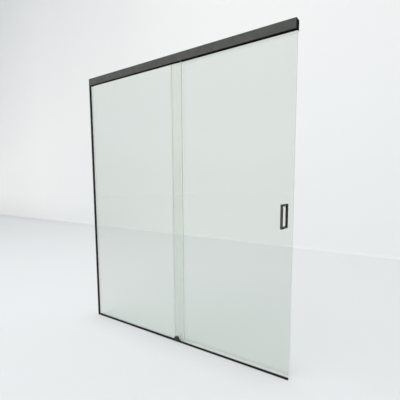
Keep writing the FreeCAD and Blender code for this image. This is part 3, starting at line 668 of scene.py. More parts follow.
def turned(axis: Axis, centre: tuple[float, float], profile: np.ndarray, sides: int = 48,
           closed: bool = False, hexed: np.ndarray | None = None) -> Surface:
    """Profile turned about an axis.

    Each point of the profile becomes a ring at its distance along the axis. Its radius is the profile's, or,
    for a ring of a hexagonal socket, the radius to the flat over the cosine of the angle from that flat.

    Args:
        axis: the axis that it turns about.
        centre: where the axis passes, in the other two directions.
        profile: radius and distance along the axis, one row each.
        sides: points in each ring.
        closed: whether the profile closes on itself, as in a wheel with a bore.
        hexed: which rings are hexagons.

    Returns:
        The closed surface.
    """
    angle = np.linspace(0, 2 * math.pi, sides, endpoint=False)[None]
    radius = np.broadcast_to(profile[:, :1], (len(profile), sides)).copy()
    if hexed is not None:
        sixth = math.pi / 3
        flat = (angle + sixth / 2) % sixth - sixth / 2
        radius = np.where(hexed[:, None], radius / np.cos(flat), radius)
    u, v = centre[0] + radius * np.cos(angle), centre[1] + radius * np.sin(angle)
    points = axis.place(u, v, profile[:, 1:])
    return Surface(points.reshape(-1, 3), grid_faces(len(profile), sides, closed))


def ring(axis: Axis, centre: tuple[float, float], span: tuple[float, float], inside: float, outside: float,
         ease: float = 0.25) -> Surface:
    """Washer or sleeve: a rectangle with rounded corners, turned about the axis.

    Args:
        axis: the ring's axis.
        centre: where the axis passes.
        span: where it starts and ends along the axis.
        inside: the bore's radius.
        outside: the outer radius.
        ease: radius of its corners.

    Returns:
        The closed surface.
    """
    start, end = span
    outline = rounded_outline([(inside, start, ease), (outside, start, ease), (outside, end, ease),
                               (inside, end, ease)], 5, 0.1)
    return turned(axis, centre, outline, closed=True)


@dataclass(frozen=True)
class Screw:
    """Screw with a hexagonal socket in an eased head, and a thread of fine rings down its shank.

    The head and shank are radii, and the key is the width across the socket's flats. A headless screw has a
    head of the shank's radius.
    """

    head: float
    depth: float
    shank: float
    key: float
    sink: float
    pitch: float = 0.8
    ease: float = 0.35
    chamfer: float = 0.12
    neck: float = 0.3
    point: float = 0.45
    plain: float = 0.8
    thread_share: float = 0.22
    tip_ease: float = 0.4

    def surface(self, axis: Axis, centre: tuple[float, float], face: float, tip: float) -> Surface:
        """The screw's closed surface.

        The profile runs from the axis at the socket's floor, up its six flats and over the face, round an
        eased edge to the head's side and back, then down the shank, where the radius falls and rises once in
        each pitch, and over the tip to the axis.

        Args:
            axis: the screw's axis.
            centre: where the axis passes.
            face: the place of the head's face along the axis.
            tip: the place of the tip.

        Returns:
            The closed surface.
        """
        length = abs(tip - face)
        ease = min(self.ease, self.depth / 3)
        bend = np.linspace(0, math.pi / 2, 5)
        rim = np.stack([self.head - ease + ease * np.sin(bend), ease * (1 - np.cos(bend))], axis=1)
        flat = self.key / 2
        socket = [[0.0, self.sink], [flat * 0.9, self.sink], [flat, self.sink * 0.9], [flat, self.chamfer],
                  [flat + self.chamfer, 0.0]]
        back = [[self.head, self.depth * 0.96], [self.head - 0.04, self.depth],
                [self.shank, self.depth + 0.02]]
        rings = max(2, int((length - self.depth - self.plain) / self.pitch)) * 2 + 1
        down = np.linspace(self.depth + self.neck, length - self.point, rings)
        dip = self.thread_share * self.pitch * (np.arange(rings) % 2)
        thread = np.stack([self.shank - dip, down], axis=1)
        end = [[self.shank - self.tip_ease, length], [0.0, length]]
        profile = np.concatenate([socket, rim, back, thread, end])
        profile[:, 1] = face + math.copysign(1.0, tip - face) * profile[:, 1]
        hexed = np.zeros(len(profile), bool)
        hexed[1:4] = True
        return turned(axis, centre, profile, hexed=hexed)


@dataclass(frozen=True)
class Box:
    """Lowest and highest corner of a CAD node, in millimetres."""

    low: np.ndarray
    high: np.ndarray

    @classmethod
    def of(cls, name: str) -> "Box":
        """The box of the node with this name."""
        low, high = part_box(name)
        return cls(np.array(low) / MM, np.array(high) / MM)

    def span(self, axis: Axis) -> tuple[float, float]:
        """Where the box starts and ends along an axis."""
        return self.low[axis.value[2]], self.high[axis.value[2]]

    def centre(self, axis: Axis) -> tuple[float, float]:
        """Where an axis through the box's middle passes, in the other two directions."""
        u, v, _ = axis.value
        return (self.low[u] + self.high[u]) / 2, (self.low[v] + self.high[v]) / 2

    def corners(self, axis: Axis, radii: Sequence[float], inset: float = 0.0) -> list[Corner]:
        """The box's outline, seen along an axis.

        Args:
            axis: the axis that it is seen along.
            radii: the corners' radii, anticlockwise from the lowest corner.
            inset: how far the outline is drawn in.

        Returns:
            The four corners with their radii.
        """
        u, v, _ = axis.value
        near, far = self.low + inset, self.high - inset
        places = ((near[u], near[v]), (far[u], near[v]), (far[u], far[v]), (near[u], far[v]))
        return [(*place, radius) for place, radius in zip(places, radii)]


def placed(name: str, data: bpy.types.ID) -> bpy.types.Object:
    """Adds an object to the scene.

    Args:
        name: the object's name.
        data: its mesh, lamp or camera.

    Returns:
        The object.
    """
    made = bpy.data.objects.new(name, data)
    bpy.context.scene.collection.objects.link(made)
    return made


def piece(name: str, surfaces: Sequence[Surface], finish: Finish, body: Body, *replaces: str) -> None:
    """Makes surfaces one object with its finish, on its body.

    Args:
        name: the object's name.
        surfaces: its points and faces, in millimetres.
        finish: what it is finished with.
        body: what it moves with.
        replaces: the CAD nodes that it stands for.
    """
    whole = functools.reduce(Surface.joined, surfaces)
    mesh = bpy.data.meshes.new(name)
    mesh.from_pydata((whole.points * MM).tolist(), [], whole.faces)
    work = bmesh.new()
    work.from_mesh(mesh)
    bmesh.ops.remove_doubles(work, verts=work.verts, dist=MERGE)
    bmesh.ops.recalc_face_normals(work, faces=work.faces)
    work.to_mesh(mesh)
    work.free()
    mesh.shade_smooth()
    mesh.set_sharp_from_angle(angle=math.radians(SHARP))
    mesh.materials.append(finish.material())
    made = placed(name, mesh)
    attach(made, body.value)
    if replaces:
        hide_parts(*replaces)
    LOG.info("%s: %d faces, rides on %s, stands for %s", name, len(mesh.polygons), body.value,
             ", ".join(replaces) or "nothing")


def dress(finish: Finish, *names: str) -> None:
    """Gives CAD nodes that keep their shape their finish.

    Args:
        finish: what they are finished with.
        names: the nodes.
    """
    for name in names:
        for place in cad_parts[name].material_slots:
            place.material = finish.material()
        LOG.info("%s keeps its CAD shape in %s", name, finish.name)


# The door's sub-assemblies

@dataclass
class Header:
    """Cover, track, end plates, rail, stops and what closes the header from below."""

    cover_round: float = 0.9
    cover_foot_round: float = 2.2
    cover_skin: float = 1.5
    rib: float = 1.2
    rib_edge: float = 9.0
    rib_root: float = 0.15
    edge: float = 0.3
    soft_edge: float = 0.35
    strip_wall: float = 1.2
    strip_grooves: int = 3
    groove: float = 0.4
    groove_round: float = 0.1
    inner_round: float = 0.2
    leg: float = 0.8
    gasket_round: float = 0.4
    seat_gap: float = 0.01
    bracket_screw: Screw = Screw(head=3.5, depth=2.0, shank=2.0, key=2.5, sink=1.1)
    bracket_spacing: float = 12.0
    stop_screw: Screw = Screw(head=2.5, depth=0.6, shank=2.5, key=2.5, sink=2.0)
    bumper_dome: float = 1.5
    bumper_length: float = 8.0
    bumper_rings: int = 3
    ring_depth: float = 0.15
    stem_length: float = 6.0

    def cover(self) -> None:
        """Flat cover with eased front edges and its two ribs behind."""
        box = Box.of("header_fascia")
        (_, front, foot), (_, rear, top) = box.low, box.high
        back = front + self.cover_skin
        outline = [(front, foot, self.cover_foot_round), (front, top, self.cover_round),
                   (back, top, self.edge)]
        for rib in (top - self.rib_edge - self.rib, foot + self.rib_edge):
            outline += [(back, rib + self.rib, self.rib_root), (rear, rib + self.rib, self.edge),
                        (rear, rib, self.edge), (back, rib, self.rib_root)]
        outline.append((back, foot, self.edge))
        # The cover's lighter coat is painted light.
        piece("header_cover", [carried(Axis.X, outline, box.span(Axis.X), 0.25)], COVER_LIT_COAT, Body.FRAME,
              "header_fascia")

    def strip(self) -> None:
        """Channel-shaped strip under the header with fine grooves along its lower face."""
        box = Box.of("header_filler_strip")
        (_, front, foot), (_, rear, top) = box.low, box.high
        floor = foot + self.strip_wall
        inside = (front + self.strip_wall, rear - self.strip_wall)
        step = (rear - front) / (self.strip_grooves + 1)
        outline = [(front, foot, self.soft_edge)]
        for number in range(1, self.strip_grooves + 1):
            middle = front + step * number
            outline += [(middle + side * self.groove, foot + rise * self.groove, self.groove_round)
                        for side, rise in ((-1, 0), (0, 1), (1, 0))]
        outline += [(rear, foot, self.soft_edge), (rear, top, self.edge), (inside[1], top, self.edge),
                    (inside[1], floor, self.inner_round), (inside[0], floor, self.inner_round),
                    (inside[0], top, self.edge), (front, top, self.edge)]
        # The strip's darker nylon is painted shade under the header.
        piece("header_strip", [carried(Axis.X, outline, box.span(Axis.X), 0.15)], UNDERSIDE_SHADED_NYLON, Body.FRAME,
              "header_filler_strip")

    def gasket(self) -> None:
        """Rubber channel over the fixed pane's top edge, with soft lips at the bottom of its two legs."""
        box = Box.of("header_glazing_gasket")
        (_, front, foot), (_, rear, top) = box.low, box.high
        seat = Box.of("fixed_glass").high[2] + self.seat_gap
        inside = (front + self.leg - self.seat_gap, rear - self.leg + self.seat_gap)
        outline = [(front, foot, self.soft_edge), (front, top, self.gasket_round),
                   (rear, top, self.gasket_round), (rear, foot, self.soft_edge),
                   (inside[1], foot, self.soft_edge),
                   (inside[1], seat, self.inner_round), (inside[0], seat, self.inner_round),
                   (inside[0], foot, self.soft_edge)]
        piece("header_gasket", [carried(Axis.X, outline, box.span(Axis.X), 0.15)], RUBBER, Body.FRAME,
              "header_glazing_gasket")

    def bracket_screws(self) -> None:
        """Four screws that come up through the end plates' tabs."""
        box = Box.of("header_bracket_screws")
        _, y = box.centre(Axis.Z)
        first, last = box.low[0] + self.bracket_screw.head, box.high[0] - self.bracket_screw.head
        made = [self.bracket_screw.surface(Axis.Z, (x, y), *box.span(Axis.Z))
                for x in (first, first + self.bracket_spacing, last - self.bracket_spacing, last)]
        piece("bracket_screw_set", made, STEEL, Body.FRAME, "header_bracket_screws")

    def stop_screws(self) -> None:
        """Headless screws that clamp the two stops on the rail."""
        box = Box.of("end_stop_screws")
        _, y = box.centre(Axis.Z)
        foot, top = box.span(Axis.Z)
        radius = self.stop_screw.head
        made = [self.stop_screw.surface(Axis.Z, (x, y), top, foot)
                for x in (box.low[0] + radius, box.high[0] - radius)]
        piece("stop_screw_set", made, STEEL, Body.FRAME, "end_stop_screws")

    def bumpers(self) -> None:
        """Two rubber bumpers: a dome, a ringed body and a stem, turned about X.

        The dome is a quarter circle from a flat tip to the body's side, and the body's radius dips as one
        minus the cosine, once for each ring.
        """
        box = Box.of("end_stop_bumpers")
        radius = (box.high[2] - box.low[2]) / 2
        stem = radius / 2
        length = self.bumper_length
        end = length + self.stem_length
        bend = np.linspace(0, math.pi / 2, 8)
        dome = np.stack([radius - self.bumper_dome * (1 - np.sin(bend)),
                         self.bumper_dome * (1 - np.cos(bend))], axis=1)
        down = np.linspace(self.bumper_dome + 0.6, length - 0.6, self.bumper_rings * 8 + 1)
        wave = np.cos(2 * math.pi * self.bumper_rings * (down - down[0]) / (down[-1] - down[0]))
        body = np.stack([radius - self.ring_depth * (1 - wave), down], axis=1)
        back = [[radius, length - 0.1], [radius - 0.1, length], [stem, length], [stem, end - 0.2],
                [stem - 0.2, end], [0.0, end]]
        shape = np.concatenate([[[0.0, 0.0], [radius * 0.4, 0.0]], dome, body, back])
        tips = ((Box.of("end_stop_left").high[0] + length, -1.0),
                (Box.of("end_stop_right").low[0] - length, 1.0))
        profiles = [np.stack([shape[:, 0], tip + way * shape[:, 1]], axis=1) for tip, way in tips]
        made = [turned(Axis.X, box.centre(Axis.X), profile, 40) for profile in profiles]
        piece("bumper_pair", made, RUBBER, Body.FRAME, "end_stop_bumpers")

    def build(self) -> None:
        """Makes the new pieces and finishes the rest."""
        self.cover()
        self.strip()
        self.gasket()
        self.bracket_screws()
        self.stop_screws()
        self.bumpers()
        # The track's up and back faces, and the end plates' fronts too, carry painted light.
        dress(ANODISED_PAINTED_LIGHT, "header_track")
        dress(END_PLATE_PAINTED_LIGHT, "header_bracket_left", "header_bracket_right")
        dress(STEEL, "roller_rail")
        dress(NYLON_BLACK, "end_stop_left", "end_stop_right")


@dataclass
class FixedPane:
    """Fixed glass with the jamb, the floor rail and what seats it."""

    bead: float = 0.95
    wedge_edge: float = 0.2
    block_length: float = 60.0
    block_radii: tuple[float, ...] = (0.3, 0.3, 0.4, 0.4)
    block_rim: float = 0.5

    def wedges(self) -> None:
        """Clear wedges behind the pane, each with a round bead along its open edge."""
        edge, bead = self.wedge_edge, self.bead
        for name, node, axis, radii in (
                ("jamb_wedge", "jamb_glazing_gasket", Axis.Z, (edge, bead, bead, edge)),
                ("floor_wedge", "bottom_glazing_gasket", Axis.X, (edge, edge, bead, bead))):
            box = Box.of(node)
            made = carried(axis, box.corners(axis, radii), box.span(axis), edge)
            piece(name, [made], VINYL, Body.FRAME, node)

    def blocks(self) -> None:
        """Two setting blocks with eased edges under the pane."""
        box = Box.of("setting_blocks")
        outline = box.corners(Axis.X, self.block_radii)
        made = [carried(Axis.X, outline, (start, start + self.block_length), self.block_rim)
                for start in (box.low[0], box.high[0] - self.block_length)]
        piece("setting_block_pair", made, NYLON_BLACK, Body.FRAME, "setting_blocks")

    def build(self) -> None:
        """Makes the wedges and blocks and finishes the pane, its frame and its tapes."""
        self.wedges()
        self.blocks()
        dress(GLASS, "fixed_glass")
        dress(POWDER, "wall_jamb")
        # The bottom channel's darker coat is painted shade.
        dress(FLOOR_SHADED_COAT, "bottom_channel")
        dress(FOAM, "jamb_glazing_tape", "bottom_glazing_tape")


@dataclass
class Threshold:
    """Bar on the floor before the sliding pane, with its end cap."""

    flange: float = 2.4
    flange_radii: tuple[float, ...] = (0.5, 0.5, 0.9, 0.9)
    spigot_inset: float = 1.8
    spigot_round: float = 0.4
    lap: float = 0.5

    def cap(self) -> None:
        """Moulded cap: a flange with soft edges and the spigot that holds it in the bar."""
        box = Box.of("threshold_end_cap")
        start, end = box.span(Axis.X)
        spigot = box.corners(Axis.X, (self.spigot_round,) * 4, self.spigot_inset)
        made = [carried(Axis.X, box.corners(Axis.X, self.flange_radii), (end - self.flange, end), 0.4),
                carried(Axis.X, spigot, (start, end - self.flange + self.lap), 0.5)]
        piece("threshold_cap", made, NYLON_BLACK, Body.FRAME, "threshold_end_cap")

    def build(self) -> None:
        """Makes the cap and finishes the bar."""
        self.cap()
        # The threshold's darker coat is painted shade.
        dress(FLOOR_SHADED_COAT, "threshold_bar")


@dataclass
class FloorGuide:
    """Guide block with soft edges, a plug over its screw, and the clear shoe behind it."""

    radii: tuple[float, ...] = (0.3, 0.3, 3.0, 14.0)
    rim: float = 0.9
    hole_edge: float = 14.0
    plug_radius: float = 4.3
    plug_rise: float = 0.6
    plug_drop: float = 0.25
    plug_root: float = 0.3

    def block(self) -> None:
        """Block seen from the front as a square with one large and one small round, with eased rims."""
        box = Box.of("bottom_guide")
        outline = box.corners(Axis.Y, self.radii)
        piece("guide_block", [carried(Axis.Y, outline, box.span(Axis.Y), self.rim, steps=10)], GUIDE_NYLON,
              Body.FRAME, "bottom_guide")

    def plug(self) -> None:
        """Low round plug over the guide's screw: a dome that drops as the radius squared, then a rim."""
        box = Box.of("bottom_guide")
        top = box.high[2]
        radius = self.plug_radius
        reach = np.linspace(0.0, radius - 0.3, 7)
        dome = np.stack([reach, top + self.plug_rise - self.plug_drop * (reach / radius) ** 2], axis=1)
        rim = [[radius - 0.05, top + 0.2], [radius, top + 0.05], [radius - 0.1, top - self.plug_root],
               [0.0, top - self.plug_root]]
        _, y = box.centre(Axis.Z)
        made = turned(Axis.Z, (box.high[0] - self.hole_edge, y), np.concatenate([dome, rim]))
        piece("guide_plug", [made], GUIDE_NYLON, Body.FRAME)

    def build(self) -> None:
        """Makes the block and its plug and finishes the shoe."""
        self.block()
        self.plug()
        dress(VINYL, "guide_shoe")
        dress(NYLON_WHITE, "guide_liners")


@dataclass
class SlidingPane:
    """Sliding glass with its overlap seal."""

    leg: float = 1.0
    fin: float = 0.8
    fin_round: float = 0.35
    back_round: float = 0.6
    leg_round: float = 0.4
    root_round: float = 0.5
    seat_round: float = 0.2
    seat_gap: float = 0.02

    def seal(self) -> None:
        """Channel over the glass edge with a fin towards the fixed pane, all corners soft."""
        box = Box.of("panel_overlap_seal")
        glass = Box.of("sliding_glass")
        (left, front, _), (right, back, _) = box.low, box.high
        near, far = glass.low[1] - self.seat_gap, glass.high[1] + self.seat_gap
        seat = glass.low[0] - self.seat_gap
        outer = glass.low[1] - self.leg
        outline = [(left, front, self.fin_round), (left, back, self.back_round),
                   (right, back, self.leg_round), (right, far, self.seat_round),
                   (seat, far, self.seat_round), (seat, near, self.seat_round),
                   (right, near, self.seat_round), (right, outer, self.leg_round),
                   (left + self.fin, outer, self.root_round), (left + self.fin, front, self.fin_round)]
        piece("overlap_seal", [carried(Axis.Z, outline, box.span(Axis.Z), 0.2)], VINYL, Body.SLIDER,
              "panel_overlap_seal")

    def build(self) -> None:
        """Finishes the glass and makes the seal."""
        dress(GLASS, "sliding_glass")
        self.seal()


@dataclass
class Pull:
    """Square-bar pulls on both sides of the glass with their washers and fixings."""

    bar: float = 12.0
    bar_round: float = 1.0
    corner_round: float = 1.6
    foot_round: float = 0.5
    stud_bore: float = 3.1
    washer_radius: float = 7.0
    washer_ease: float = 0.35
    bush_radius: float = 4.9
    grub: Screw = Screw(head=2.0, depth=0.4, shank=2.0, key=2.0, sink=1.2, pitch=0.6)
    grub_setback: float = 5.0
    grub_proud: float = 0.06
    grub_depth: float = 3.0

    def bow(self) -> Surface:
        """The outline of a square D from the side, carried across the bar's width.

        Returns:
            The front pull's surface.
        """
        box = Box.of("handle_front")
        (_, front, low), (_, foot, high) = box.low, box.high
        inner = front + self.bar
        outline = [(foot, low, self.foot_round), (front, low, self.corner_round),
                   (front, high, self.corner_round), (foot, high, self.foot_round),
                   (foot, high - self.bar, self.foot_round),
                   (inner, high - self.bar, self.corner_round), (inner, low + self.bar, self.corner_round),
                   (foot, low + self.bar, self.foot_round)]
        return carried(Axis.X, outline, box.span(Axis.X), self.bar_round, rim_steps=6)

    def arms(self) -> list[tuple[float, float]]:
        """Finds the middles of the pull's two arms.

        Returns:
            Where the two studs pass, as x and z.
        """
        box = Box.of("handle_front")
        x, _ = box.centre(Axis.Y)
        return [(x, box.low[2] + self.bar / 2), (x, box.high[2] - self.bar / 2)]

    def washers(self) -> None:
        """Soft clear washers on both faces of the glass."""
        foot = Box.of("handle_front").high[1]
        pane = Box.of("sliding_glass")
        made = [ring(Axis.Y, arm, span, self.stud_bore, self.washer_radius, self.washer_ease)
                for arm in self.arms() for span in ((foot, pane.low[1]), (pane.high[1], -foot))]
        piece("pull_washers", made, VINYL, Body.SLIDER, "handle_washers")

    def bushes(self) -> None:
        """Nylon sleeves in the glass round the studs."""
        span = Box.of("handle_bushes").span(Axis.Y)
        made = [ring(Axis.Y, arm, span, self.stud_bore, self.bush_radius) for arm in self.arms()]
        piece("pull_bushes", made, NYLON_WHITE, Body.SLIDER, "handle_bushes")

    def grub_screws(self) -> None:
        """Headless screws in the underside of the rear arms."""
        y = Box.of("handle_rear").low[1] + self.grub_setback
        made = []
        for x, z in self.arms():
            under = z - self.bar / 2
            made.append(self.grub.surface(Axis.Z, (x, y), under - self.grub_proud, under + self.grub_depth))
        piece("pull_grub_screws", made, STEEL, Body.SLIDER, "handle_grub_screws")

    def build(self) -> None:
        """Makes both pulls and what joins them."""
        bow = self.bow()
        # The front pull's lighter coat is painted light.
        piece("pull_front", [bow], PULL_LIT_COAT, Body.SLIDER, "handle_front")
        # The rear pull's darker coat is painted shade.
        piece("pull_rear", [bow.mirrored()], REAR_PULL_SHADED_COAT, Body.SLIDER, "handle_rear")
        self.washers()
        self.bushes()
        self.grub_screws()
        dress(STEEL, "handle_studs")


@dataclass
class Carriages:
    """Hangers that clamp the pane, their bolts, and the rollers on their axles."""

    rollers: int = 4
    flange_ease: float = 0.5
    groove: float = 4.8
    groove_root: float = 0.3
    flare: float = 0.4
    small_ease: float = 0.2
    tread_radius: float = 10.0
    bore_radius: float = 5.5
    bearing_bore: float = 2.54
    bore_ease: float = 0.15
    race: float = 1.1
    race_ease: float = 0.12
    shield_sink: float = 0.4
    shield_step: float = 0.1
    shield_ring: float = 0.5
    clamp_pitch: float = 30.0
    clamp_bore: float = 3.1
    clamp_bush: float = 5.9
    jump_screw: Screw = Screw(head=2.3, depth=1.4, shank=1.5, key=2.0, sink=0.8, pitch=0.5)

    def tyre(self, number: int) -> None:
        """Grooved wheel, turned about its axle from a closed profile.

        The profile has eased flanges round a flat-bottomed groove.

        Args:
            number: which roller it is, from 1.
        """
        name = f"roller_tyre_{number}"
        box = Box.of(name)
        near, far = box.span(Axis.Y)
        rim = (box.high[2] - box.low[2]) / 2
        middle = (near + far) / 2
        half = self.groove / 2
        outline = rounded_outline([
            (self.bore_radius, near, self.small_ease), (rim, near, self.flange_ease),
            (rim, middle - half - self.flare, self.small_ease),
            (self.tread_radius, middle - half, self.groove_root),
            (self.tread_radius, middle + half, self.groove_root),
            (rim, middle + half + self.flare, self.small_ease),
            (rim, far, self.flange_ease), (self.bore_radius, far, self.small_ease)], 4)
        made = turned(Axis.Y, box.centre(Axis.Y), outline, 64, closed=True)
        piece(f"wheel_{number}", [made], NYLON_WHITE, Body(f"roller_{number}"), name)

    def bearing(self, number: int) -> None:
        """Shielded bearing, turned about its axle from a closed profile.

        The profile has two races with eased edges, and a sunk shield with a pressed rim on each side.

        Args:
            number: which roller it belongs to, from 1.
        """
        name = f"roller_bearing_{number}"
        box = Box.of(name)
        near, far = box.span(Axis.Y)
        outside = (box.high[2] - box.low[2]) / 2
        inner = self.bearing_bore + self.race
        sunk, raised = near + self.shield_sink, near + self.shield_sink * 0.6
        ease, step = self.race_ease, self.shield_step
        face = [(self.bearing_bore, near, self.bore_ease), (inner, near, ease), (inner, sunk, step),
                (inner + self.shield_ring, sunk, step), (inner + self.shield_ring + 0.1, raised, step),
                (outside - self.race, raised, step), (outside - self.race, near, ease),
                (outside, near, self.small_ease)]
        other = [(u, near + far - v, radius) for u, v, radius in reversed(face)]
        made = turned(Axis.Y, box.centre(Axis.Y), rounded_outline(face + other, 3), closed=True)
        piece(f"bearing_{number}", [made], STEEL, Body(f"roller_{number}"), name)

    def clamp_bushes(self) -> None:
        """Nylon sleeves in the glass round the clamp bolts."""
        box = Box.of("hanger_bushes")
        _, z = box.centre(Axis.Y)
        middles = [Box.of(plate).centre(Axis.Y)[0] for plate in ("hanger_plate_left", "hanger_plate_right")]
        made = [ring(Axis.Y, (x + side * self.clamp_pitch / 2, z), box.span(Axis.Y), self.clamp_bore,
                     self.clamp_bush) for x in middles for side in (-1, 1)]
        piece("clamp_bushes", made, NYLON_WHITE, Body.SLIDER, "hanger_bushes")

    def jump_screws(self) -> None:
        """Screws that hold the blocks under the roof on the hangers."""
        box = Box.of("anti_jump_screws")
        _, z = box.centre(Axis.Y)
        radius = self.jump_screw.head
        made = [self.jump_screw.surface(Axis.Y, (x, z), *box.span(Axis.Y))
                for x in (box.low[0] + radius, box.high[0] - radius)]
        piece("jump_screw_set", made, STEEL, Body.SLIDER, "anti_jump_screws")

    def build(self) -> None:
        """Makes the rollers and small parts and finishes the hangers."""
        for number in range(1, self.rollers + 1):
            self.tyre(number)
            self.bearing(number)
        self.clamp_bushes()
        self.jump_screws()
        dress(STEEL, "hanger_plate_left", "hanger_plate_right", "hanger_bolts", "roller_axles")
        dress(POWDER, "hanger_back_plate_left", "hanger_back_plate_right")
        dress(NYLON_BLACK, "anti_jump_blocks")
        dress(RUBBER, "hanger_gaskets")


# Studio and camera

class Way(Enum):
    """What a ramp grows along in the room; towards the far upper corner it is x times z."""

    X = "x"
    Y = "y"
    Z = "z"
    CORNER = "x times z"


class Ramp(NamedTuple):
    """Share that grows from 0 to 1 between two places in the room, in metres."""

    along: Way
    start: float
    end: float


@dataclass(frozen=True)
class StudioPaint(Finish):
    """Matt white studio paint, shaded by place. The camera sees it a little paler than glass and metal do.

    The camera sees a wall painted whiter far to the left, as painted light that makes up for the lamp's
    fall-off, and painted greyer in the far upper corner, as painted shade, and a faintly greyer floor. Glass
    and metal see a wall that is whiter low down and a floor that is whiter far in front. Both see a soft
    shade within a quarter of a metre of what stands on the floor, and one along the foot of the wall that
    grows to the left.
    """

    name: str = "matt_white_studio_paint"
    low_wall: str = "#f1f2f3"
    high_wall: str = "#f2f3f3"
    rise: Ramp = Ramp(Way.Z, 0.2, 4.3)
    cloud: Spots = Spots(900.0, 1.0, -0.08, 0.08)
    # painted light whiter far to the left, painted shade greyer in the far upper corner, then the floor's
    # colour at the wall's foot
    washes: tuple[tuple[Ramp, str], ...] = (
        (Ramp(Way.X, -5.0, -9.0), "#ffffff"), (Ramp(Way.CORNER, -20.0, -126.0), "#d3d8db"),
        (Ramp(Way.Z, 0.06, 0.0), "#e9ebed"))
    through_low: str = "#e9edeb"
    through_washes: tuple[tuple[Ramp, str], ...] = (
        (Ramp(Way.Z, 1.0, 2.4), "#e3e7e6"), (Ramp(Way.Z, 0.06, 0.0), "#dfe3e4"),
        (Ramp(Way.Y, -1.0, -8.0), "#ffffff"))
    contact: float = 0.26
    through_share: float = 0.15
    contact_reach: float = 0.25
    far: Ramp = Ramp(Way.Y, 1.0, 3.0)
    leftward: Ramp = Ramp(Way.X, -4.0, -11.0)
    wall_contact: float = 0.18
    wall_reach: float = 0.9
    shade_samples: int = 16

    def paint(self, tree: Tree) -> Socket:
        """Fully matt white that differs by place and by what sees it.

        Args:
            tree: the material's node tree.

        Returns:
            The shader's socket.
        """
        point = add(tree, "ShaderNodeTexCoord").outputs["Object"]
        place = add(tree, "ShaderNodeSeparateXYZ", links={"Vector": point}).outputs
        corner = add(tree, "ShaderNodeMath", links={0: place["X"], 1: place["Z"]},
                     operation="MULTIPLY").outputs[0]
        reads = {Way.X: place["X"], Way.Y: place["Y"], Way.Z: place["Z"], Way.CORNER: corner}
        ramps = dict.fromkeys([self.rise, self.far, *(ramp for ramp, _ in self.washes + self.through_washes)])
        shares = {ramp: add(tree, "ShaderNodeMapRange", {"From Min": ramp.start, "From Max": ramp.end},
                            {"Value": reads[ramp.along]}).outputs["Result"] for ramp in ramps}
        height = add(tree, "ShaderNodeMath", links={0: shares[self.rise], 1: self.cloud.drawn(tree, point)},
                     operation="ADD").outputs[0]
        shown = add(tree, "ShaderNodeMix", {6: linear(self.low_wall), 7: linear(self.high_wall)},
                    {0: height}, data_type="RGBA").outputs[2]
        for ramp, code in self.washes:
            shown = add(tree, "ShaderNodeMix", {7: linear(code)}, {0: shares[ramp], 6: shown},
                        data_type="RGBA").outputs[2]
        behind: dict[int, Socket] = {}
        for ramp, code in self.through_washes:
            mix = add(tree, "ShaderNodeMix", {6: linear(self.through_low), 7: linear(code)},
                      {0: shares[ramp], **behind}, data_type="RGBA")
            behind = {6: mix.outputs[2]}
        seen = add(tree, "ShaderNodeLightPath").outputs["Is Camera Ray"]
        colour = add(tree, "ShaderNodeMix", links={0: seen, 7: shown, **behind}, data_type="RGBA").outputs[2]
        by_wall = add(tree, "ShaderNodeMapRange",
                      {"From Min": self.leftward.start, "From Max": self.leftward.end,
                       "To Max": self.wall_contact}, {"Value": reads[self.leftward.along]}).outputs["Result"]
        by_foot = add(tree, "ShaderNodeMapRange",
                      {"To Min": self.contact * self.through_share, "To Max": self.contact},
                      {"Value": seen}).outputs["Result"]
        depth = add(tree, "ShaderNodeMix", links={0: shares[self.far], 2: by_foot, 3: by_wall}).outputs[0]
        reach = add(tree, "ShaderNodeMix", {2: self.contact_reach, 3: self.wall_reach},
                    {0: shares[self.far]}).outputs[0]
        shade = add(tree, "ShaderNodeAmbientOcclusion", links={"Distance": reach},
                    samples=self.shade_samples)
        shaded = add(tree, "ShaderNodeMix", links={0: depth, 6: colour, 7: shade.outputs["AO"]},
                     data_type="RGBA", blend_type="MULTIPLY").outputs[2]
        return add(tree, "ShaderNodeBsdfPrincipled", {"Roughness": 1.0, "Specular IOR Level": 0.0},
                   {"Base Color": shaded}).outputs[0]


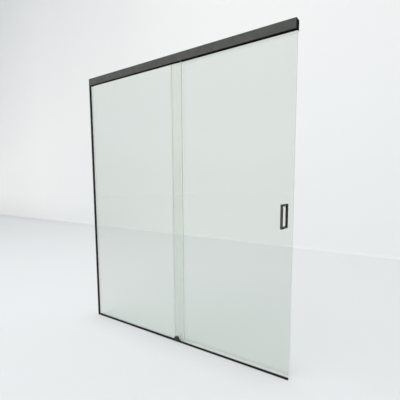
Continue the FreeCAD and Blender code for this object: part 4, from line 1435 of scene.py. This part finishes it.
@dataclass
class Studio:
    """White floor that meets a white wall behind the door, a soft lamp in front and a pale surround."""

    wall_distance: float = 3.717
    wall_slope: float = -0.0192
    half_width: float = 26.0
    near: float = -40.0
    wall_height: float = 12.0
    cove: float = 0.06
    columns: int = 9
    key_place: tuple[float, float, float] = (-1.5, -3.5, 6.5)
    key_aim: tuple[float, float, float] = (0.0, 0.5, 0.0)
    key_size: float = 5.0
    key_watts: float = 150.0
    surround: float = 0.36
    glow: float = 1.2
    glow_span: tuple[float, float] = (-0.2, 0.95)
    glow_way: tuple[float, float, float] = (-0.62, -0.70, 0.36)
    low_glow: float = 0.6
    low_span: tuple[float, float] = (-0.02, 0.16)
    backdrop: float = 0.86

    def sweep(self) -> None:
        """Floor, cove and wall: a profile of a line, a quarter circle and a line, carried across the room.

        The wall's distance changes with x by the slope.
        """
        bend = np.linspace(0, math.pi / 2, 9)
        depth = np.concatenate([[self.near], self.wall_distance - self.cove + self.cove * np.sin(bend),
                                [self.wall_distance]])
        height = np.concatenate([[0.0], self.cove * (1 - np.cos(bend)), [self.wall_height]])
        across = np.linspace(-self.half_width, self.half_width, self.columns)[:, None]
        lean = np.where(depth > 0, self.wall_slope, 0.0)
        points = np.stack(np.broadcast_arrays(across, depth + lean * across, height), axis=-1)
        row = np.arange(self.columns - 1)[:, None] * len(depth)
        low = row + np.arange(len(depth) - 1)
        quads = np.stack([low, low + len(depth), low + len(depth) + 1, low + 1], axis=-1)
        mesh = bpy.data.meshes.new("studio_sweep")
        mesh.from_pydata(points.reshape(-1, 3).tolist(), [], quads.reshape(-1, 4).tolist())
        mesh.shade_smooth()
        mesh.materials.append(StudioPaint().material())
        placed("studio_sweep", mesh)

    def lamp(self) -> None:
        """Soft square lamp in front, high on the left, turned to its aim by pitch and yaw."""
        data = bpy.data.lights.new("key_softbox", "AREA")
        data.shape = "RECTANGLE"
        data.size = self.key_size
        data.size_y = self.key_size
        data.energy = self.key_watts
        made = placed("key_softbox", data)
        made.location = self.key_place
        x, y, z = np.array(self.key_aim) - np.array(self.key_place)
        made.rotation_euler = (math.pi / 2 + math.atan2(z, math.hypot(x, y)), 0.0, -math.atan2(x, y))
        LOG.info("key_softbox: %.0f W at %s", self.key_watts, self.key_place)

    def world(self) -> None:
        """Grey surround with a wide soft glow towards the front left, dimmer low down.

        It lights the door as a large light tent does. The camera sees it plain white, by itself and through
        glass, as it sees the wall.
        """
        made = bpy.data.worlds.new("studio_surround")
        made.use_nodes = True
        tree = made.node_tree
        tree.nodes.clear()
        way = add(tree, "ShaderNodeTexCoord").outputs["Generated"]
        along = add(tree, "ShaderNodeVectorMath", {1: self.glow_way}, {0: way}, operation="DOT_PRODUCT")
        up = add(tree, "ShaderNodeSeparateXYZ", links={"Vector": way}).outputs["Z"]
        levels = {}
        for number, (read, span, low, high) in enumerate((
                (along.outputs["Value"], self.glow_span, self.surround, self.glow),
                (up, self.low_span, self.low_glow, 1.0))):
            smooth = add(tree, "ShaderNodeMapRange",
                         {"From Min": span[0], "From Max": span[1], "To Min": low, "To Max": high},
                         {"Value": read}, interpolation_type="SMOOTHSTEP")
            levels[number] = smooth.outputs["Result"]
        strength = add(tree, "ShaderNodeMath", links=levels, operation="MULTIPLY").outputs[0]
        ray = add(tree, "ShaderNodeLightPath").outputs
        looked = add(tree, "ShaderNodeMath", links={0: ray["Is Camera Ray"], 1: ray["Is Transmission Ray"]},
                     operation="MAXIMUM").outputs[0]
        white = add(tree, "ShaderNodeMath", {1: self.backdrop}, {0: looked}, operation="MULTIPLY").outputs[0]
        shown = add(tree, "ShaderNodeMath", links={0: strength, 1: white}, operation="MAXIMUM").outputs[0]
        light = add(tree, "ShaderNodeBackground", {"Color": linear("#ffffff")}, {"Strength": shown})
        add(tree, "ShaderNodeOutputWorld", links={"Surface": light.outputs[0]})
        bpy.context.scene.world = made

    def build(self) -> None:
        """Puts up the sweep, the lamp and the surround."""
        self.sweep()
        self.lamp()
        self.world()


@dataclass
class ViewCamera:
    """Camera at the photograph's viewing angle."""

    place: tuple[float, float, float] = (1.42203, -1.65431, 1.10153)
    yaw: float = 0.575
    pitch: float = 0.1047
    lens: float = 28.08
    sensor: float = 36.0
    shift: tuple[float, float] = (-0.0427, 0.0468)
    clip: tuple[float, float] = (0.05, 100.0)

    def build(self) -> None:
        """Makes the camera and sets it in the scene."""
        data = bpy.data.cameras.new("view_camera")
        data.lens = self.lens
        data.sensor_width = self.sensor
        data.shift_x, data.shift_y = self.shift
        data.clip_start, data.clip_end = self.clip
        made = placed("view_camera", data)
        made.location = self.place
        made.rotation_euler = (math.pi / 2 - self.pitch, 0.0, self.yaw)
        bpy.context.scene.camera = made


def main() -> None:
    """Builds the door's sub-assemblies, then the studio and the camera."""
    logging.basicConfig(level=logging.INFO, format="%(name)s: %(message)s")
    ViewCamera().build()
    for assembly in (Header(), FixedPane(), Threshold(), FloorGuide(), SlidingPane(), Pull(), Carriages(),
                     Studio()):
        LOG.info("building %s", type(assembly).__name__)
        assembly.build()
    bpy.context.scene.view_settings.view_transform = "Standard"


if __name__ == "__main__":
    main()
